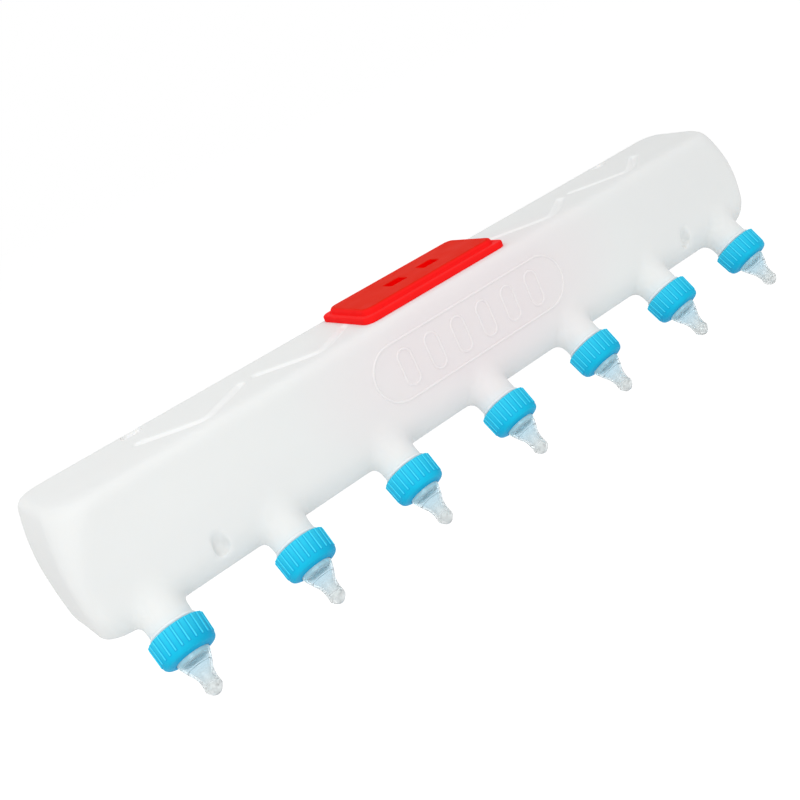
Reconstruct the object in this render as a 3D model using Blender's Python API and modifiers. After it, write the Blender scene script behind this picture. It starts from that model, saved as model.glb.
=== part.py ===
"""Multi nipple drinker: a blow-moulded milk tank with seven screw-on teats and a lift-off lid.

Units are metres, +Z is up. The tank hangs with its flat back against a wall or a fence, so the
origin is the middle of that back face: X runs along the tank and the teats point to -Y and down.
"""

import math

import bmesh
import bpy
from mathutils import Matrix, Vector

# Clearances
SEAT_GAP = 0.0003
COLLAR_CLEARANCE = 0.0004
TEAT_CLEARANCE = 0.0005

# Tank body
TANK_LENGTH = 0.6951
TANK_HEIGHT = 0.104
TANK_DEPTH = 0.0975
TANK_WALL = 0.0026
FRONT_RAKE = 0.008
FRONT_FOOT_RADIUS = 0.032
FRONT_TOP_RADIUS = 0.013
BACK_FOOT_RADIUS = 0.012
BACK_TOP_RADIUS = 0.004
END_WIDEST_HEIGHT = 0.046
END_TOP_DRAW = 0.0098
END_FOOT_DRAW = 0.0023
END_SLANT = 0.0057
END_FOOT_RADIUS = 0.010
END_TOP_RADIUS = 0.005
FRONT_CORNER_RADIUS = 0.012
FRONT_CORNER_TOP_RADIUS = 0.036
FRONT_CORNER_FOOT_RADIUS = 0.023
BACK_CORNER_RADIUS = 0.015

# Necks along the lower front edge
NECK_COUNT = 7
NECK_END_MARGIN = 0.04755
NECK_TILT = math.radians(40.5)
NECK_OFFSET = 0.0068
NECK_LENGTH = 0.0342
NECK_RADIUS = 0.0163
NECK_WALL = 0.0023
NECK_FILLET = 0.0078
BEAD_HEIGHT = 0.0010
BEAD_WIDTH = 0.0020
BEAD_BEHIND_CAP = 0.0012

# Screw caps
CAP_RADIUS = 0.0201
CAP_LENGTH = 0.0200
CAP_SIDE_WALL = 0.0018
CAP_FRONT_WALL = 0.0020
CAP_SHOULDER = 0.0040
CAP_CROWN = 0.0010
GRIP_COUNT = 24
GRIP_HEIGHT = 0.0007
GRIP_WIDTH = 0.0015

# Teats
TEAT_FLANGE = 0.0022
TEAT_FLANGE_CLEARANCE = 0.0007
TEAT_REACH = 0.0356
TEAT_BELL_RADIUS = 0.0118
TEAT_BELL_LENGTH = 0.0058
TEAT_WAIST_RADIUS = 0.0059
TEAT_TIP_RADIUS = 0.0062
TEAT_WALL = 0.0018
TEAT_TIP_WALL = 0.0026
TEAT_HOLE_RADIUS = 0.0008

# Lid and the mouth that it closes
LID_LENGTH = 0.1434
LID_DEPTH = 0.0763
LID_HEIGHT = 0.0092
LID_FLANGE_HEIGHT = 0.0047
LID_BACK_MARGIN = 0.0045
LID_PLATE_END_INSET = 0.0049
LID_PLATE_SIDE_INSET = 0.0062
LID_WALL = 0.0022
LID_CORNER_RADIUS = 0.008
LID_EDGE_RADIUS = 0.0018
LID_PLATE_EDGE_RADIUS = 0.0030
COLLAR_WALL = 0.0026
POCKET_LENGTH = 0.0159
POCKET_DEPTH = 0.0141
POCKET_SINK = 0.0064
POCKET_SPACING = 0.0338
POCKET_FORWARD = 0.0020
POCKET_CORNER_RADIUS = 0.0015

# Pressed details of the tank
GROOVE_DEPTH = 0.0014
GROOVE_WIDTH = 0.0085
GROOVE_LID_MARGIN = 0.0513
GROOVE_END_MARGIN = 0.13155
GROOVE_SHIFT = 0.007
GROOVE_HALF_SPAN = 0.042
GROOVE_RUN = 0.0255
GROOVE_POINT_FROM_FRONT = 0.0215
NOTCH_END_MARGIN = 0.09655
NOTCH_LENGTH = 0.020
NOTCH_DEPTH = 0.0105
NOTCH_BACK_MARGIN = 0.0045
NOTCH_SINK = 0.0035
SCOOP_END_MARGIN = 0.09955
SCOOP_SHIFT = 0.002
SCOOP_RADIUS = 0.0055
SCOOP_HEIGHT = 0.0300
SCOOP_DROP = 0.006
SCOOP_LEAN = math.radians(30.0)

# Facets
TURN_STEPS = 24
NECK_STEPS = 20
TEAT_STEPS = 16
CORNER_STEPS = 4

TOP = TANK_HEIGHT / 2
FOOT = -TANK_HEIGHT / 2
LID_CENTRE_Y = -(LID_BACK_MARGIN + LID_DEPTH / 2)
NECK_PITCH = (TANK_LENGTH - 2 * NECK_END_MARGIN) / (NECK_COUNT - 1)
GROOVE_PLACES = (LID_LENGTH / 2 + GROOVE_LID_MARGIN, TANK_LENGTH / 2 - GROOVE_END_MARGIN)


def clear_scene():
    """Remove every object, so the model starts from nothing."""
    for obj in list(bpy.data.objects):
        bpy.data.objects.remove(obj, do_unlink=True)


def new_collection(name):
    """Make a collection under the scene's own."""
    collection = bpy.data.collections.new(name)
    bpy.context.scene.collection.children.link(collection)
    return collection


def plastic(name, colour, roughness, transmission=0.0):
    """A Principled material for one of the mouldings."""
    material = bpy.data.materials.new(name)
    material.use_nodes = True
    shader = material.node_tree.nodes["Principled BSDF"]
    shader.inputs["Base Color"].default_value = (*colour, 1.0)
    shader.inputs["Roughness"].default_value = roughness
    shader.inputs["Metallic"].default_value = 0.0
    shader.inputs["Transmission Weight"].default_value = transmission
    return material


def object_from(bm, name, collection):
    """Turn a bmesh into an object in the given collection."""
    mesh = bpy.data.meshes.new(name)
    bmesh.ops.recalc_face_normals(bm, faces=bm.faces)
    bm.to_mesh(mesh)
    bm.free()
    obj = bpy.data.objects.new(name, mesh)
    collection.objects.link(obj)
    return obj


def as_cutter(obj):
    """Mark a helper solid that only cuts or joins."""
    obj.hide_render = True
    obj.display_type = "WIRE"
    return obj


def boolean(target, tool, operation):
    """Join or cut the target with a helper solid."""
    modifier = target.modifiers.new(f"{operation.lower()} {tool.name}", "BOOLEAN")
    modifier.operation = operation
    modifier.solver = "EXACT"
    modifier.object = tool


def settle(obj):
    """Replace an object's mesh by its evaluated one, so others can share it."""
    bpy.context.view_layer.update()
    graph = bpy.context.evaluated_depsgraph_get()
    mesh = bpy.data.meshes.new_from_object(obj.evaluated_get(graph))
    obj.modifiers.clear()
    obj.data = mesh


def smooth(obj, degrees=32.0):
    """Shade smooth, with edges sharper than the angle kept crisp."""
    obj.data.shade_smooth()
    obj.data.set_sharp_from_angle(angle=math.radians(degrees))


def loft(name, rings, collection):
    """One closed skin through rings of equal count, lowest first, each anticlockwise from above."""
    count = len(rings[0])
    verts = [point for ring in rings for point in ring]
    faces = [list(reversed(range(count)))]
    for level in range(len(rings) - 1):
        low = level * count
        for i in range(count):
            j = (i + 1) % count
            faces.append([low + i, low + j, low + count + j, low + count + i])
    faces.append([(len(rings) - 1) * count + i for i in range(count)])
    mesh = bpy.data.meshes.new(name)
    mesh.from_pydata(verts, [], faces)
    obj = bpy.data.objects.new(name, mesh)
    collection.objects.link(obj)
    return obj


def turned(name, profile, steps, collection):
    """Turn a closed (radius, height) profile about Z, its outer side listed top to bottom."""
    count = len(profile)
    mesh = bpy.data.meshes.new(name)
    points = [(radius, 0.0, height) for radius, height in profile]
    mesh.from_pydata(points, [(i, (i + 1) % count) for i in range(count)], [])
    obj = bpy.data.objects.new(name, mesh)
    collection.objects.link(obj)
    screw = obj.modifiers.new("turn", "SCREW")
    screw.axis = "Z"
    screw.angle = math.tau
    screw.steps = steps
    screw.render_steps = steps
    screw.use_merge_vertices = True
    screw.merge_threshold = 0.00001
    return obj


def rounded_slab(bm, half_x, half_y, low, high, corner, edge=0.0, centre=(0.0, 0.0)):
    """Add a slab with rounded upright corners and, if asked, a soft top edge."""
    made = bmesh.ops.create_cube(bm, size=1.0)
    verts = made["verts"]
    bmesh.ops.scale(bm, vec=(2 * half_x, 2 * half_y, high - low), verts=verts)
    bmesh.ops.translate(bm, vec=(centre[0], centre[1], (low + high) / 2), verts=verts)
    faces = {face for vert in verts for face in vert.link_faces}
    upright = {e for f in faces for e in f.edges if abs(e.verts[0].co.z - e.verts[1].co.z) > 1e-6}
    rounded = bmesh.ops.bevel(
        bm, geom=list(upright), offset=corner, segments=CORNER_STEPS, affect="EDGES", profile=0.5
    )
    if edge <= 0.0:
        return
    reach = {face for vert in rounded["verts"] for face in vert.link_faces}
    rim = {
        e
        for f in reach
        for e in f.edges
        if min(e.verts[0].co.z, e.verts[1].co.z) > high - 1e-6
    }
    bmesh.ops.bevel(bm, geom=list(rim), offset=edge, segments=2, affect="EDGES", profile=0.5)


def edge_inset(radius, distance):
    """How far a rounded edge has drawn in, at a distance from the face it ends on."""
    if distance >= radius:
        return 0.0
    rise = radius - max(distance, 0.0)
    return radius - math.sqrt(radius**2 - rise**2)


def front_y(z):
    """The raked front face's place at a height."""
    return -TANK_DEPTH + FRONT_RAKE * (z - FOOT) / TANK_HEIGHT


def end_x(z):
    """Half the tank's length at a height, before its edges are rounded."""
    height = z - FOOT
    if height > END_WIDEST_HEIGHT:
        share = (height - END_WIDEST_HEIGHT) / (TANK_HEIGHT - END_WIDEST_HEIGHT)
        return TANK_LENGTH / 2 - END_TOP_DRAW * share**2
    share = (END_WIDEST_HEIGHT - height) / END_WIDEST_HEIGHT
    return TANK_LENGTH / 2 - END_FOOT_DRAW * share**2


def front_corner_radius(z):
    """The front corners' radius in plan: it grows towards the top and the foot."""
    height = z - FOOT
    if height <= END_WIDEST_HEIGHT:
        share = (END_WIDEST_HEIGHT - height) / END_WIDEST_HEIGHT
        return FRONT_CORNER_RADIUS + (FRONT_CORNER_FOOT_RADIUS - FRONT_CORNER_RADIUS) * share**2
    share = (height - END_WIDEST_HEIGHT) / (TANK_HEIGHT - END_WIDEST_HEIGHT)
    return FRONT_CORNER_RADIUS + (FRONT_CORNER_TOP_RADIUS - FRONT_CORNER_RADIUS) * share**2


def tank_ring(z, inset):
    """The tank's outline at a height, drawn in by the inset: rounded corners, slanted ends."""
    up = TOP - inset - z
    down = z - FOOT - inset
    front = front_y(z) + inset
    front += edge_inset(FRONT_FOOT_RADIUS - inset, down) + edge_inset(FRONT_TOP_RADIUS - inset, up)
    back = -inset
    back -= edge_inset(BACK_FOOT_RADIUS - inset, down) + edge_inset(BACK_TOP_RADIUS - inset, up)
    end = end_x(z) - inset
    end -= edge_inset(END_FOOT_RADIUS - inset, down) + edge_inset(END_TOP_RADIUS - inset, up)
    front_corner = front_corner_radius(z) - inset
    back_corner = BACK_CORNER_RADIUS - inset
    quarter = [math.pi / 2 * i / CORNER_STEPS for i in range(CORNER_STEPS + 1)]
    half = []
    for angle in quarter:
        x = end - END_SLANT - front_corner + front_corner * math.sin(angle)
        half.append((x, front + front_corner - front_corner * math.cos(angle), z))
    for angle in quarter:
        x = end - back_corner + back_corner * math.cos(angle)
        half.append((x, back - back_corner + back_corner * math.sin(angle), z))
    return half + [(-x, y, height) for x, y, height in reversed(half)]


def tank_levels(inset):
    """Heights of the tank's outlines: close together where its edges turn."""
    low = FOOT + inset
    high = TOP - inset
    foot_radius = FRONT_FOOT_RADIUS - inset
    top_radius = FRONT_TOP_RADIUS - inset
    foot_steps = 7
    top_steps = 5
    turns = [math.pi / 2 * i / foot_steps for i in range(foot_steps + 1)]
    levels = [low + foot_radius * (1.0 - math.cos(turn)) for turn in turns]
    straight = high - top_radius - levels[-1]
    levels += [levels[-1] + straight * share for share in (0.35, 0.7)]
    turns = [math.pi / 2 * i / top_steps for i in range(top_steps, -1, -1)]
    levels += [high - top_radius * (1.0 - math.cos(turn)) for turn in turns]
    return levels


def tank_solid(name, inset, collection):
    """The tank's outer form, or its cavity when drawn in by the wall."""
    rings = [tank_ring(z, inset) for z in tank_levels(inset)]
    return loft(name, rings, collection)


def neck_frame(index):
    """Matrix at a neck's mouth: its Z runs out along the neck, its X along the tank."""
    x = (index - (NECK_COUNT - 1) / 2) * NECK_PITCH
    out = Vector((0.0, -math.sin(NECK_TILT), -math.cos(NECK_TILT)))
    across = Vector((0.0, -math.cos(NECK_TILT), math.sin(NECK_TILT)))
    centre_z = FOOT + FRONT_FOOT_RADIUS
    centre = Vector((x, front_y(centre_z) + FRONT_FOOT_RADIUS, centre_z))
    mouth = centre + across * NECK_OFFSET + out * (FRONT_FOOT_RADIUS + NECK_LENGTH)
    turn = Matrix((Vector((1.0, 0.0, 0.0)), across, out)).transposed()
    return Matrix.Translation(mouth) @ turn.to_4x4()


def skin_height(across):
    """Height of the tank's skin under a neck, along the neck from its mouth, at a sideways place."""
    radius = FRONT_FOOT_RADIUS
    side = across + NECK_OFFSET
    slope = FRONT_RAKE / TANK_HEIGHT
    sine = math.sin(NECK_TILT)
    cosine = math.cos(NECK_TILT)
    front = (radius - side * (cosine + slope * sine)) / (sine - slope * cosine)
    under = (radius + side * sine) / cosine
    height = min(front, under)
    if abs(side) < radius:
        arc = math.sqrt(radius**2 - side**2)
        on_front = side * sine - arc * cosine > 0.0
        behind = -side * cosine - arc * sine > 0.0
        if not on_front and not behind:
            height = min(height, arc)
    return height - (FRONT_FOOT_RADIUS + NECK_LENGTH)


def neck_blank(collection):
    """All necks as solid blanks, each flared into the tank's rounded lower edge."""
    foot = NECK_RADIUS + NECK_FILLET
    sink = 0.0004
    root = 0.005
    rim = -(CAP_LENGTH - CAP_FRONT_WALL - 2 * SEAT_GAP - TEAT_FLANGE)
    bead = rim - BEAD_BEHIND_CAP
    slope = BEAD_WIDTH / 4
    angles = [math.tau * i / NECK_STEPS for i in range(NECK_STEPS)]
    rings = []

    def ring(radius_and_height):
        points = []
        for angle in angles:
            radius, height = radius_and_height(math.sin(angle))
            points.append(Vector((radius * math.cos(angle), radius * math.sin(angle), height)))
        rings.append(points)

    def blend(share):
        def at(lean):
            low = skin_height(foot * lean) - sink
            knee = skin_height(NECK_RADIUS * lean)
            start = (1.0 - share) ** 2
            middle = 2 * share * (1.0 - share)
            radius = start * foot + (middle + share**2) * NECK_RADIUS
            height = start * low + middle * knee + share**2 * (knee + NECK_FILLET)
            return radius, height

        return at

    ring(lambda lean: (NECK_RADIUS, skin_height(foot * lean) - root))
    for share in (0.0, 0.3, 0.65, 1.0):
        ring(blend(share))
    ring(lambda lean: (NECK_RADIUS, bead - BEAD_WIDTH))
    ring(lambda lean: (NECK_RADIUS + BEAD_HEIGHT, bead - BEAD_WIDTH + slope))
    ring(lambda lean: (NECK_RADIUS + BEAD_HEIGHT, bead - slope))
    ring(lambda lean: (NECK_RADIUS, bead))
    ring(lambda lean: (NECK_RADIUS, 0.0))
    blanks = bmesh.new()
    for index in range(NECK_COUNT):
        one = loft("neck blank", rings, collection)
        one.data.transform(neck_frame(index))
        blanks.from_mesh(one.data)
        bpy.data.objects.remove(one, do_unlink=True)
    return as_cutter(object_from(blanks, "neck blanks", collection))


def neck_bores(collection):
    """The bore of every neck, long enough to open into the tank."""
    bores = bmesh.new()
    deep = -skin_height(0.0) + 2 * TANK_WALL + NECK_RADIUS
    beyond = NECK_WALL
    for index in range(NECK_COUNT):
        place = neck_frame(index) @ Matrix.Translation((0.0, 0.0, (beyond - deep) / 2))
        bmesh.ops.create_cone(
            bores,
            cap_ends=True,
            segments=NECK_STEPS,
            radius1=NECK_RADIUS - NECK_WALL,
            radius2=NECK_RADIUS - NECK_WALL,
            depth=deep + beyond,
            matrix=place,
        )
    return as_cutter(object_from(bores, "neck bores", collection))


def collar_half_size():
    """Half the length and half the depth of the mouth's collar, which the lid's plate slides over."""
    wall = LID_WALL + COLLAR_CLEARANCE
    half_x = LID_LENGTH / 2 - LID_PLATE_END_INSET - wall
    return half_x, LID_DEPTH / 2 - LID_PLATE_SIDE_INSET - wall


def collar_corner():
    """Corner radius of the collar's outside."""
    return LID_CORNER_RADIUS - LID_WALL - COLLAR_CLEARANCE


def groove_cutter(collection):
    """The V-shaped stiffening grooves pressed into the top, two on each side of the lid."""
    bm = bmesh.new()
    point_y = front_y(TOP) + GROOVE_POINT_FROM_FRONT
    arm = Vector((GROOVE_HALF_SPAN, GROOVE_RUN, 0.0))
    lean = math.atan2(arm.y, arm.x)
    flare = GROOVE_DEPTH * 3
    for side in (-1, 1):
        for place in GROOVE_PLACES:
            point_x = GROOVE_SHIFT + side * place
            outlines = []
            for half, z in ((GROOVE_WIDTH / 2 - flare / 2, TOP - GROOVE_DEPTH),
                            (GROOVE_WIDTH / 2 + flare / 2, TOP + GROOVE_DEPTH)):
                out = half / math.cos(lean)
                tip = half * math.tan(lean / 2)
                end = arm.x + half * 0.4
                rise = (end - tip) * math.tan(lean)
                outline = [(0.0, -out), (end, end * math.tan(lean) - out)]
                outline += [(end, end * math.tan(lean) + out), (0.0, out)]
                outline += [(-end, end * math.tan(lean) + out), (-end, end * math.tan(lean) - out)]
                outlines.append([(point_x + x, point_y + y, z) for x, y in outline])
            low = [bm.verts.new(point) for point in outlines[0]]
            high = [bm.verts.new(point) for point in outlines[1]]
            bm.faces.new(list(reversed(low)))
            bm.faces.new(high)
            count = len(low)
            for i in range(count):
                j = (i + 1) % count
                bm.faces.new([low[i], low[j], high[j], high[i]])
    return as_cutter(object_from(bm, "grooves", collection))


def notch_solid(name, grow, collection):
    """Hook seats along the back edge of the top, or the same grown by the wall under them."""
    bm = bmesh.new()
    centre_y = -(NOTCH_BACK_MARGIN + NOTCH_DEPTH / 2)
    for side in (-1, 1):
        rounded_slab(
            bm,
            NOTCH_LENGTH / 2 + grow,
            NOTCH_DEPTH / 2 + grow,
            TOP - NOTCH_SINK - grow,
            TOP + NOTCH_SINK,
            NOTCH_DEPTH / 5,
            centre=(side * (TANK_LENGTH / 2 - NOTCH_END_MARGIN), centre_y),
        )
    return as_cutter(object_from(bm, name, collection))


def scoop_solid(name, grow, collection):
    """Leaning round-ended scoops low in the front face, or the same grown by the wall."""
    bm = bmesh.new()
    radius = SCOOP_RADIUS + grow
    cross_z = FOOT + SCOOP_HEIGHT
    deep = Vector((0.0, SCOOP_DROP * math.tan(SCOOP_LEAN), -SCOOP_DROP))
    axis = deep.normalized()
    length = 5 * SCOOP_RADIUS
    for side in (-1, 1):
        cross_x = SCOOP_SHIFT + side * (TANK_LENGTH / 2 - SCOOP_END_MARGIN)
        end = Vector((cross_x, front_y(cross_z), cross_z)) + deep
        turn = axis.to_track_quat("Z", "Y").to_matrix().to_4x4()
        middle = end - axis * (length / 2)
        bmesh.ops.create_cone(
            bm,
            cap_ends=True,
            segments=12,
            radius1=radius,
            radius2=radius,
            depth=length,
            matrix=Matrix.Translation(middle) @ turn,
        )
        for face in list(bm.faces):
            centre = face.calc_center_median()
            if len(face.verts) == 12 and (centre - end).length < 1e-5:
                dome(bm, face, axis, radius)
    return as_cutter(object_from(bm, name, collection))


def dome(bm, face, axis, radius):
    """Close a cylinder's end with a ball end, in three steps."""
    steps = 3
    centre = face.calc_center_median()
    for step in range(1, steps):
        angle = math.pi / 2 * step / steps
        made = bmesh.ops.extrude_discrete_faces(bm, faces=[face])
        face = made["faces"][0]
        for vert in face.verts:
            spoke = vert.co - centre
            spoke -= axis * spoke.dot(axis)
            vert.co = centre + spoke.normalized() * radius * math.cos(angle)
            vert.co += axis * radius * math.sin(angle)
    peak = bmesh.ops.poke(bm, faces=[face])["verts"][0]
    peak.co = centre + axis * radius


def build_tank(parts, helpers, material):
    """The tank: one moulded shell with its necks, the collar round its mouth and its pressings."""
    tank = tank_solid("tank", 0.0, parts)
    cavity = as_cutter(tank_solid("cavity", TANK_WALL, helpers))
    notches = notch_solid("notches", 0.0, helpers)
    notch_walls = notch_solid("notch walls", TANK_WALL, helpers)
    scoops = scoop_solid("scoops", 0.0, helpers)
    scoop_walls = scoop_solid("scoop walls", TANK_WALL, helpers)
    blanks = neck_blank(helpers)
    bores = neck_bores(helpers)
    half_x, half_y = collar_half_size()
    plate_under = TOP + SEAT_GAP + LID_HEIGHT - LID_WALL
    collar_bm = bmesh.new()
    rounded_slab(
        collar_bm,
        half_x,
        half_y,
        TOP - TANK_WALL / 2,
        plate_under - SEAT_GAP,
        collar_corner(),
        centre=(0.0, LID_CENTRE_Y),
    )
    collar = as_cutter(object_from(collar_bm, "collar", helpers))
    mouth_bm = bmesh.new()
    rounded_slab(
        mouth_bm,
        half_x - COLLAR_WALL,
        half_y - COLLAR_WALL,
        TOP - 3 * TANK_WALL,
        plate_under + COLLAR_WALL,
        collar_corner() - COLLAR_WALL,
        centre=(0.0, LID_CENTRE_Y),
    )
    mouth = as_cutter(object_from(mouth_bm, "mouth", helpers))
    grooves = groove_cutter(helpers)
    boolean(cavity, notch_walls, "DIFFERENCE")
    boolean(cavity, scoop_walls, "DIFFERENCE")
    boolean(tank, blanks, "UNION")
    boolean(tank, collar, "UNION")
    boolean(tank, grooves, "DIFFERENCE")
    boolean(tank, notches, "DIFFERENCE")
    boolean(tank, scoops, "DIFFERENCE")
    boolean(tank, cavity, "DIFFERENCE")
    boolean(tank, bores, "DIFFERENCE")
    boolean(tank, mouth, "DIFFERENCE")
    tank.data.materials.append(material)
    smooth(tank)
    return tank


def arc(centre, radius, start, end, steps):
    """Points of an arc of (radius, height) from one angle to another, in degrees."""
    points = []
    for i in range(steps + 1):
        angle = math.radians(start + (end - start) * i / steps)
        points.append((centre[0] + radius * math.cos(angle), centre[1] + radius * math.sin(angle)))
    return points


def cap_front():
    """Height of the inside of a cap's front wall above the neck's mouth."""
    return SEAT_GAP + TEAT_FLANGE + SEAT_GAP


def teat_flange_radius():
    """The teat's flange fills the cap, less its clearance."""
    return CAP_RADIUS - CAP_SIDE_WALL - TEAT_FLANGE_CLEARANCE


def cap_mesh(helpers):
    """One ribbed screw cap: a ring with a crowned front and a hole for the teat."""
    inner = CAP_RADIUS - CAP_SIDE_WALL
    hole = TEAT_BELL_RADIUS + TEAT_CLEARANCE
    inside = cap_front()
    face = inside + CAP_FRONT_WALL
    rear = face - CAP_LENGTH
    shoulder = arc((CAP_RADIUS - CAP_SHOULDER, face - CAP_SHOULDER), CAP_SHOULDER, 72.0, 0.0, 3)
    profile = [(hole, face + CAP_CROWN)]
    profile += shoulder
    profile += [(CAP_RADIUS, rear), (inner, rear), (inner, inside), (hole, inside)]
    cap = turned("cap", profile, TURN_STEPS, helpers)
    ribs = bmesh.new()
    length = CAP_LENGTH - CAP_SHOULDER - GRIP_HEIGHT
    root = CAP_SIDE_WALL / 2
    for index in range(GRIP_COUNT):
        turn = Matrix.Rotation(math.tau * index / GRIP_COUNT, 4, "Z")
        middle = Matrix.Translation(
            (CAP_RADIUS + (GRIP_HEIGHT - root) / 2, 0.0, rear + GRIP_HEIGHT + length / 2)
        )
        size = Matrix.Diagonal((GRIP_HEIGHT + root, GRIP_WIDTH, length, 1.0))
        bmesh.ops.create_cube(ribs, size=1.0, matrix=turn @ middle @ size)
    grips = as_cutter(object_from(ribs, "grips", helpers))
    boolean(cap, grips, "UNION")
    settle(cap)
    return cap


def teat_radius(share, wide, narrow):
    """The teat's radius along its taper, from the bell at 0 to the waist at 1."""
    return narrow + (wide - narrow) * (0.5 + 0.5 * math.cos(math.pi * share))


def teat_mesh(helpers):
    """One hollow teat: flange, bell, taper to a waist, and a round tip with its feeding hole."""
    flange = teat_flange_radius()
    under = SEAT_GAP
    upper = under + TEAT_FLANGE
    shoulder = TEAT_BELL_LENGTH
    tip_centre = TEAT_REACH - TEAT_TIP_RADIUS
    waist = tip_centre - 0.75 * TEAT_TIP_RADIUS
    hole_angle = math.degrees(math.acos(TEAT_HOLE_RADIUS / TEAT_TIP_RADIUS))
    profile = arc((0.0, tip_centre), TEAT_TIP_RADIUS, hole_angle, 0.0, 3)
    for share in (1.0, 0.75, 0.5, 0.25, 0.0):
        height = shoulder + (waist - shoulder) * share
        profile.append((teat_radius(share, TEAT_BELL_RADIUS, TEAT_WAIST_RADIUS), height))
    profile += [(TEAT_BELL_RADIUS, upper), (flange, upper), (flange, under)]
    bell = TEAT_BELL_RADIUS - TEAT_WALL
    throat = TEAT_WAIST_RADIUS - TEAT_WALL
    profile += [(bell, under)]
    for share in (0.0, 0.35, 0.65, 1.0):
        height = shoulder + (waist - shoulder) * share
        profile.append((teat_radius(share, bell, throat), height))
    profile += [(throat, tip_centre), (TEAT_HOLE_RADIUS, TEAT_REACH - TEAT_TIP_WALL)]
    teat = turned("teat", profile, TEAT_STEPS, helpers)
    settle(teat)
    return teat


def build_teats(parts, helpers, cap_material, teat_material):
    """Seven caps and seven teats, each on the axis of its neck."""
    cap = cap_mesh(helpers)
    teat = teat_mesh(helpers)
    cap.data.materials.clear()
    cap.data.materials.append(cap_material)
    teat.data.materials.clear()
    teat.data.materials.append(teat_material)
    smooth(cap)
    smooth(teat, 40.0)
    for index in range(NECK_COUNT):
        axis = bpy.data.objects.new(f"neck_axis_{index + 1}", None)
        axis.empty_display_size = NECK_RADIUS
        axis.matrix_world = neck_frame(index)
        parts.objects.link(axis)
        for name, mesh in (("screw_cap", cap.data), ("nipple", teat.data)):
            piece = bpy.data.objects.new(f"{name}_{index + 1}", mesh)
            parts.objects.link(piece)
            piece.parent = axis
    for source in (cap, teat):
        bpy.data.objects.remove(source, do_unlink=True)


def build_lid(parts, helpers, material):
    """The press-on lid: a flange tier, a raised plate, and two finger pockets sunk in the plate."""
    seat = TOP + SEAT_GAP
    tier = seat + LID_FLANGE_HEIGHT
    top = seat + LID_HEIGHT
    half_x = LID_LENGTH / 2
    half_y = LID_DEPTH / 2
    centre = (0.0, LID_CENTRE_Y)
    outer_bm = bmesh.new()
    rounded_slab(outer_bm, half_x, half_y, seat, tier, LID_CORNER_RADIUS, LID_EDGE_RADIUS, centre)
    lid = object_from(outer_bm, "lid", parts)
    plate_bm = bmesh.new()
    rounded_slab(
        plate_bm,
        half_x - LID_PLATE_END_INSET,
        half_y - LID_PLATE_SIDE_INSET,
        seat + LID_WALL / 2,
        top,
        LID_CORNER_RADIUS,
        LID_PLATE_EDGE_RADIUS,
        centre,
    )
    plate = as_cutter(object_from(plate_bm, "plate", helpers))
    hollow_bm = bmesh.new()
    rounded_slab(
        hollow_bm,
        half_x - LID_PLATE_END_INSET - LID_WALL,
        half_y - LID_PLATE_SIDE_INSET - LID_WALL,
        seat - LID_WALL,
        top - LID_WALL,
        LID_CORNER_RADIUS - LID_WALL,
        centre=centre,
    )
    hollow = as_cutter(object_from(hollow_bm, "lid hollow", helpers))
    rebate_bm = bmesh.new()
    rounded_slab(
        rebate_bm,
        half_x - LID_WALL,
        half_y - LID_WALL,
        seat - LID_WALL,
        tier - LID_WALL,
        LID_CORNER_RADIUS - LID_WALL,
        centre=centre,
    )
    rebate = as_cutter(object_from(rebate_bm, "flange hollow", helpers))
    walls_bm = bmesh.new()
    pockets_bm = bmesh.new()
    for side in (-1, 1):
        place = (side * POCKET_SPACING / 2, LID_CENTRE_Y - POCKET_FORWARD)
        floor = top - POCKET_SINK
        rounded_slab(
            walls_bm,
            POCKET_LENGTH / 2 + LID_WALL,
            POCKET_DEPTH / 2 + LID_WALL,
            floor - LID_WALL,
            top - LID_WALL / 2,
            POCKET_CORNER_RADIUS + LID_WALL,
            centre=place,
        )
        rounded_slab(
            pockets_bm,
            POCKET_LENGTH / 2,
            POCKET_DEPTH / 2,
            floor,
            top + POCKET_SINK,
            POCKET_CORNER_RADIUS,
            centre=place,
        )
    walls = as_cutter(object_from(walls_bm, "pocket walls", helpers))
    pockets = as_cutter(object_from(pockets_bm, "pockets", helpers))
    boolean(lid, plate, "UNION")
    boolean(lid, hollow, "DIFFERENCE")
    boolean(lid, rebate, "DIFFERENCE")
    boolean(lid, walls, "UNION")
    boolean(lid, pockets, "DIFFERENCE")
    lid.data.materials.append(material)
    smooth(lid)
    return lid


def main():
    """Build every piece of the drinker."""
    clear_scene()
    parts = new_collection("multi_nipple_drinker")
    helpers = new_collection("helpers")
    white = plastic("white polyethylene", (0.86, 0.87, 0.87), 0.42, 0.1)
    blue = plastic("blue polypropylene", (0.012, 0.42, 0.80), 0.38)
    clear = plastic("clear silicone", (0.88, 0.90, 0.91), 0.18, 0.85)
    red = plastic("red polypropylene", (0.82, 0.025, 0.015), 0.40)
    build_tank(parts, helpers, white)
    build_teats(parts, helpers, blue, clear)
    build_lid(parts, helpers, red)


main()
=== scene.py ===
"""Multi nipple livestock drinker, dressed for its picture.

The tank, the lid, the seven screw caps and the seven teats are modelled again with finer forms and
moulded finishes, and each piece rides the body of the part that it covers. Units are metres, +Z is
up, and the origin is the middle of the tank's flat back face.
"""

import logging
import math
from collections.abc import Callable, Sequence
from dataclasses import dataclass, field
from enum import Enum

import bmesh
import bpy
from bmesh.types import BMEdge, BMesh, BMFace, BMVert
from bpy.types import Material, Mesh, Node, NodeSocket, NodeTree, Object
from mathutils import Matrix, Vector


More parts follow.
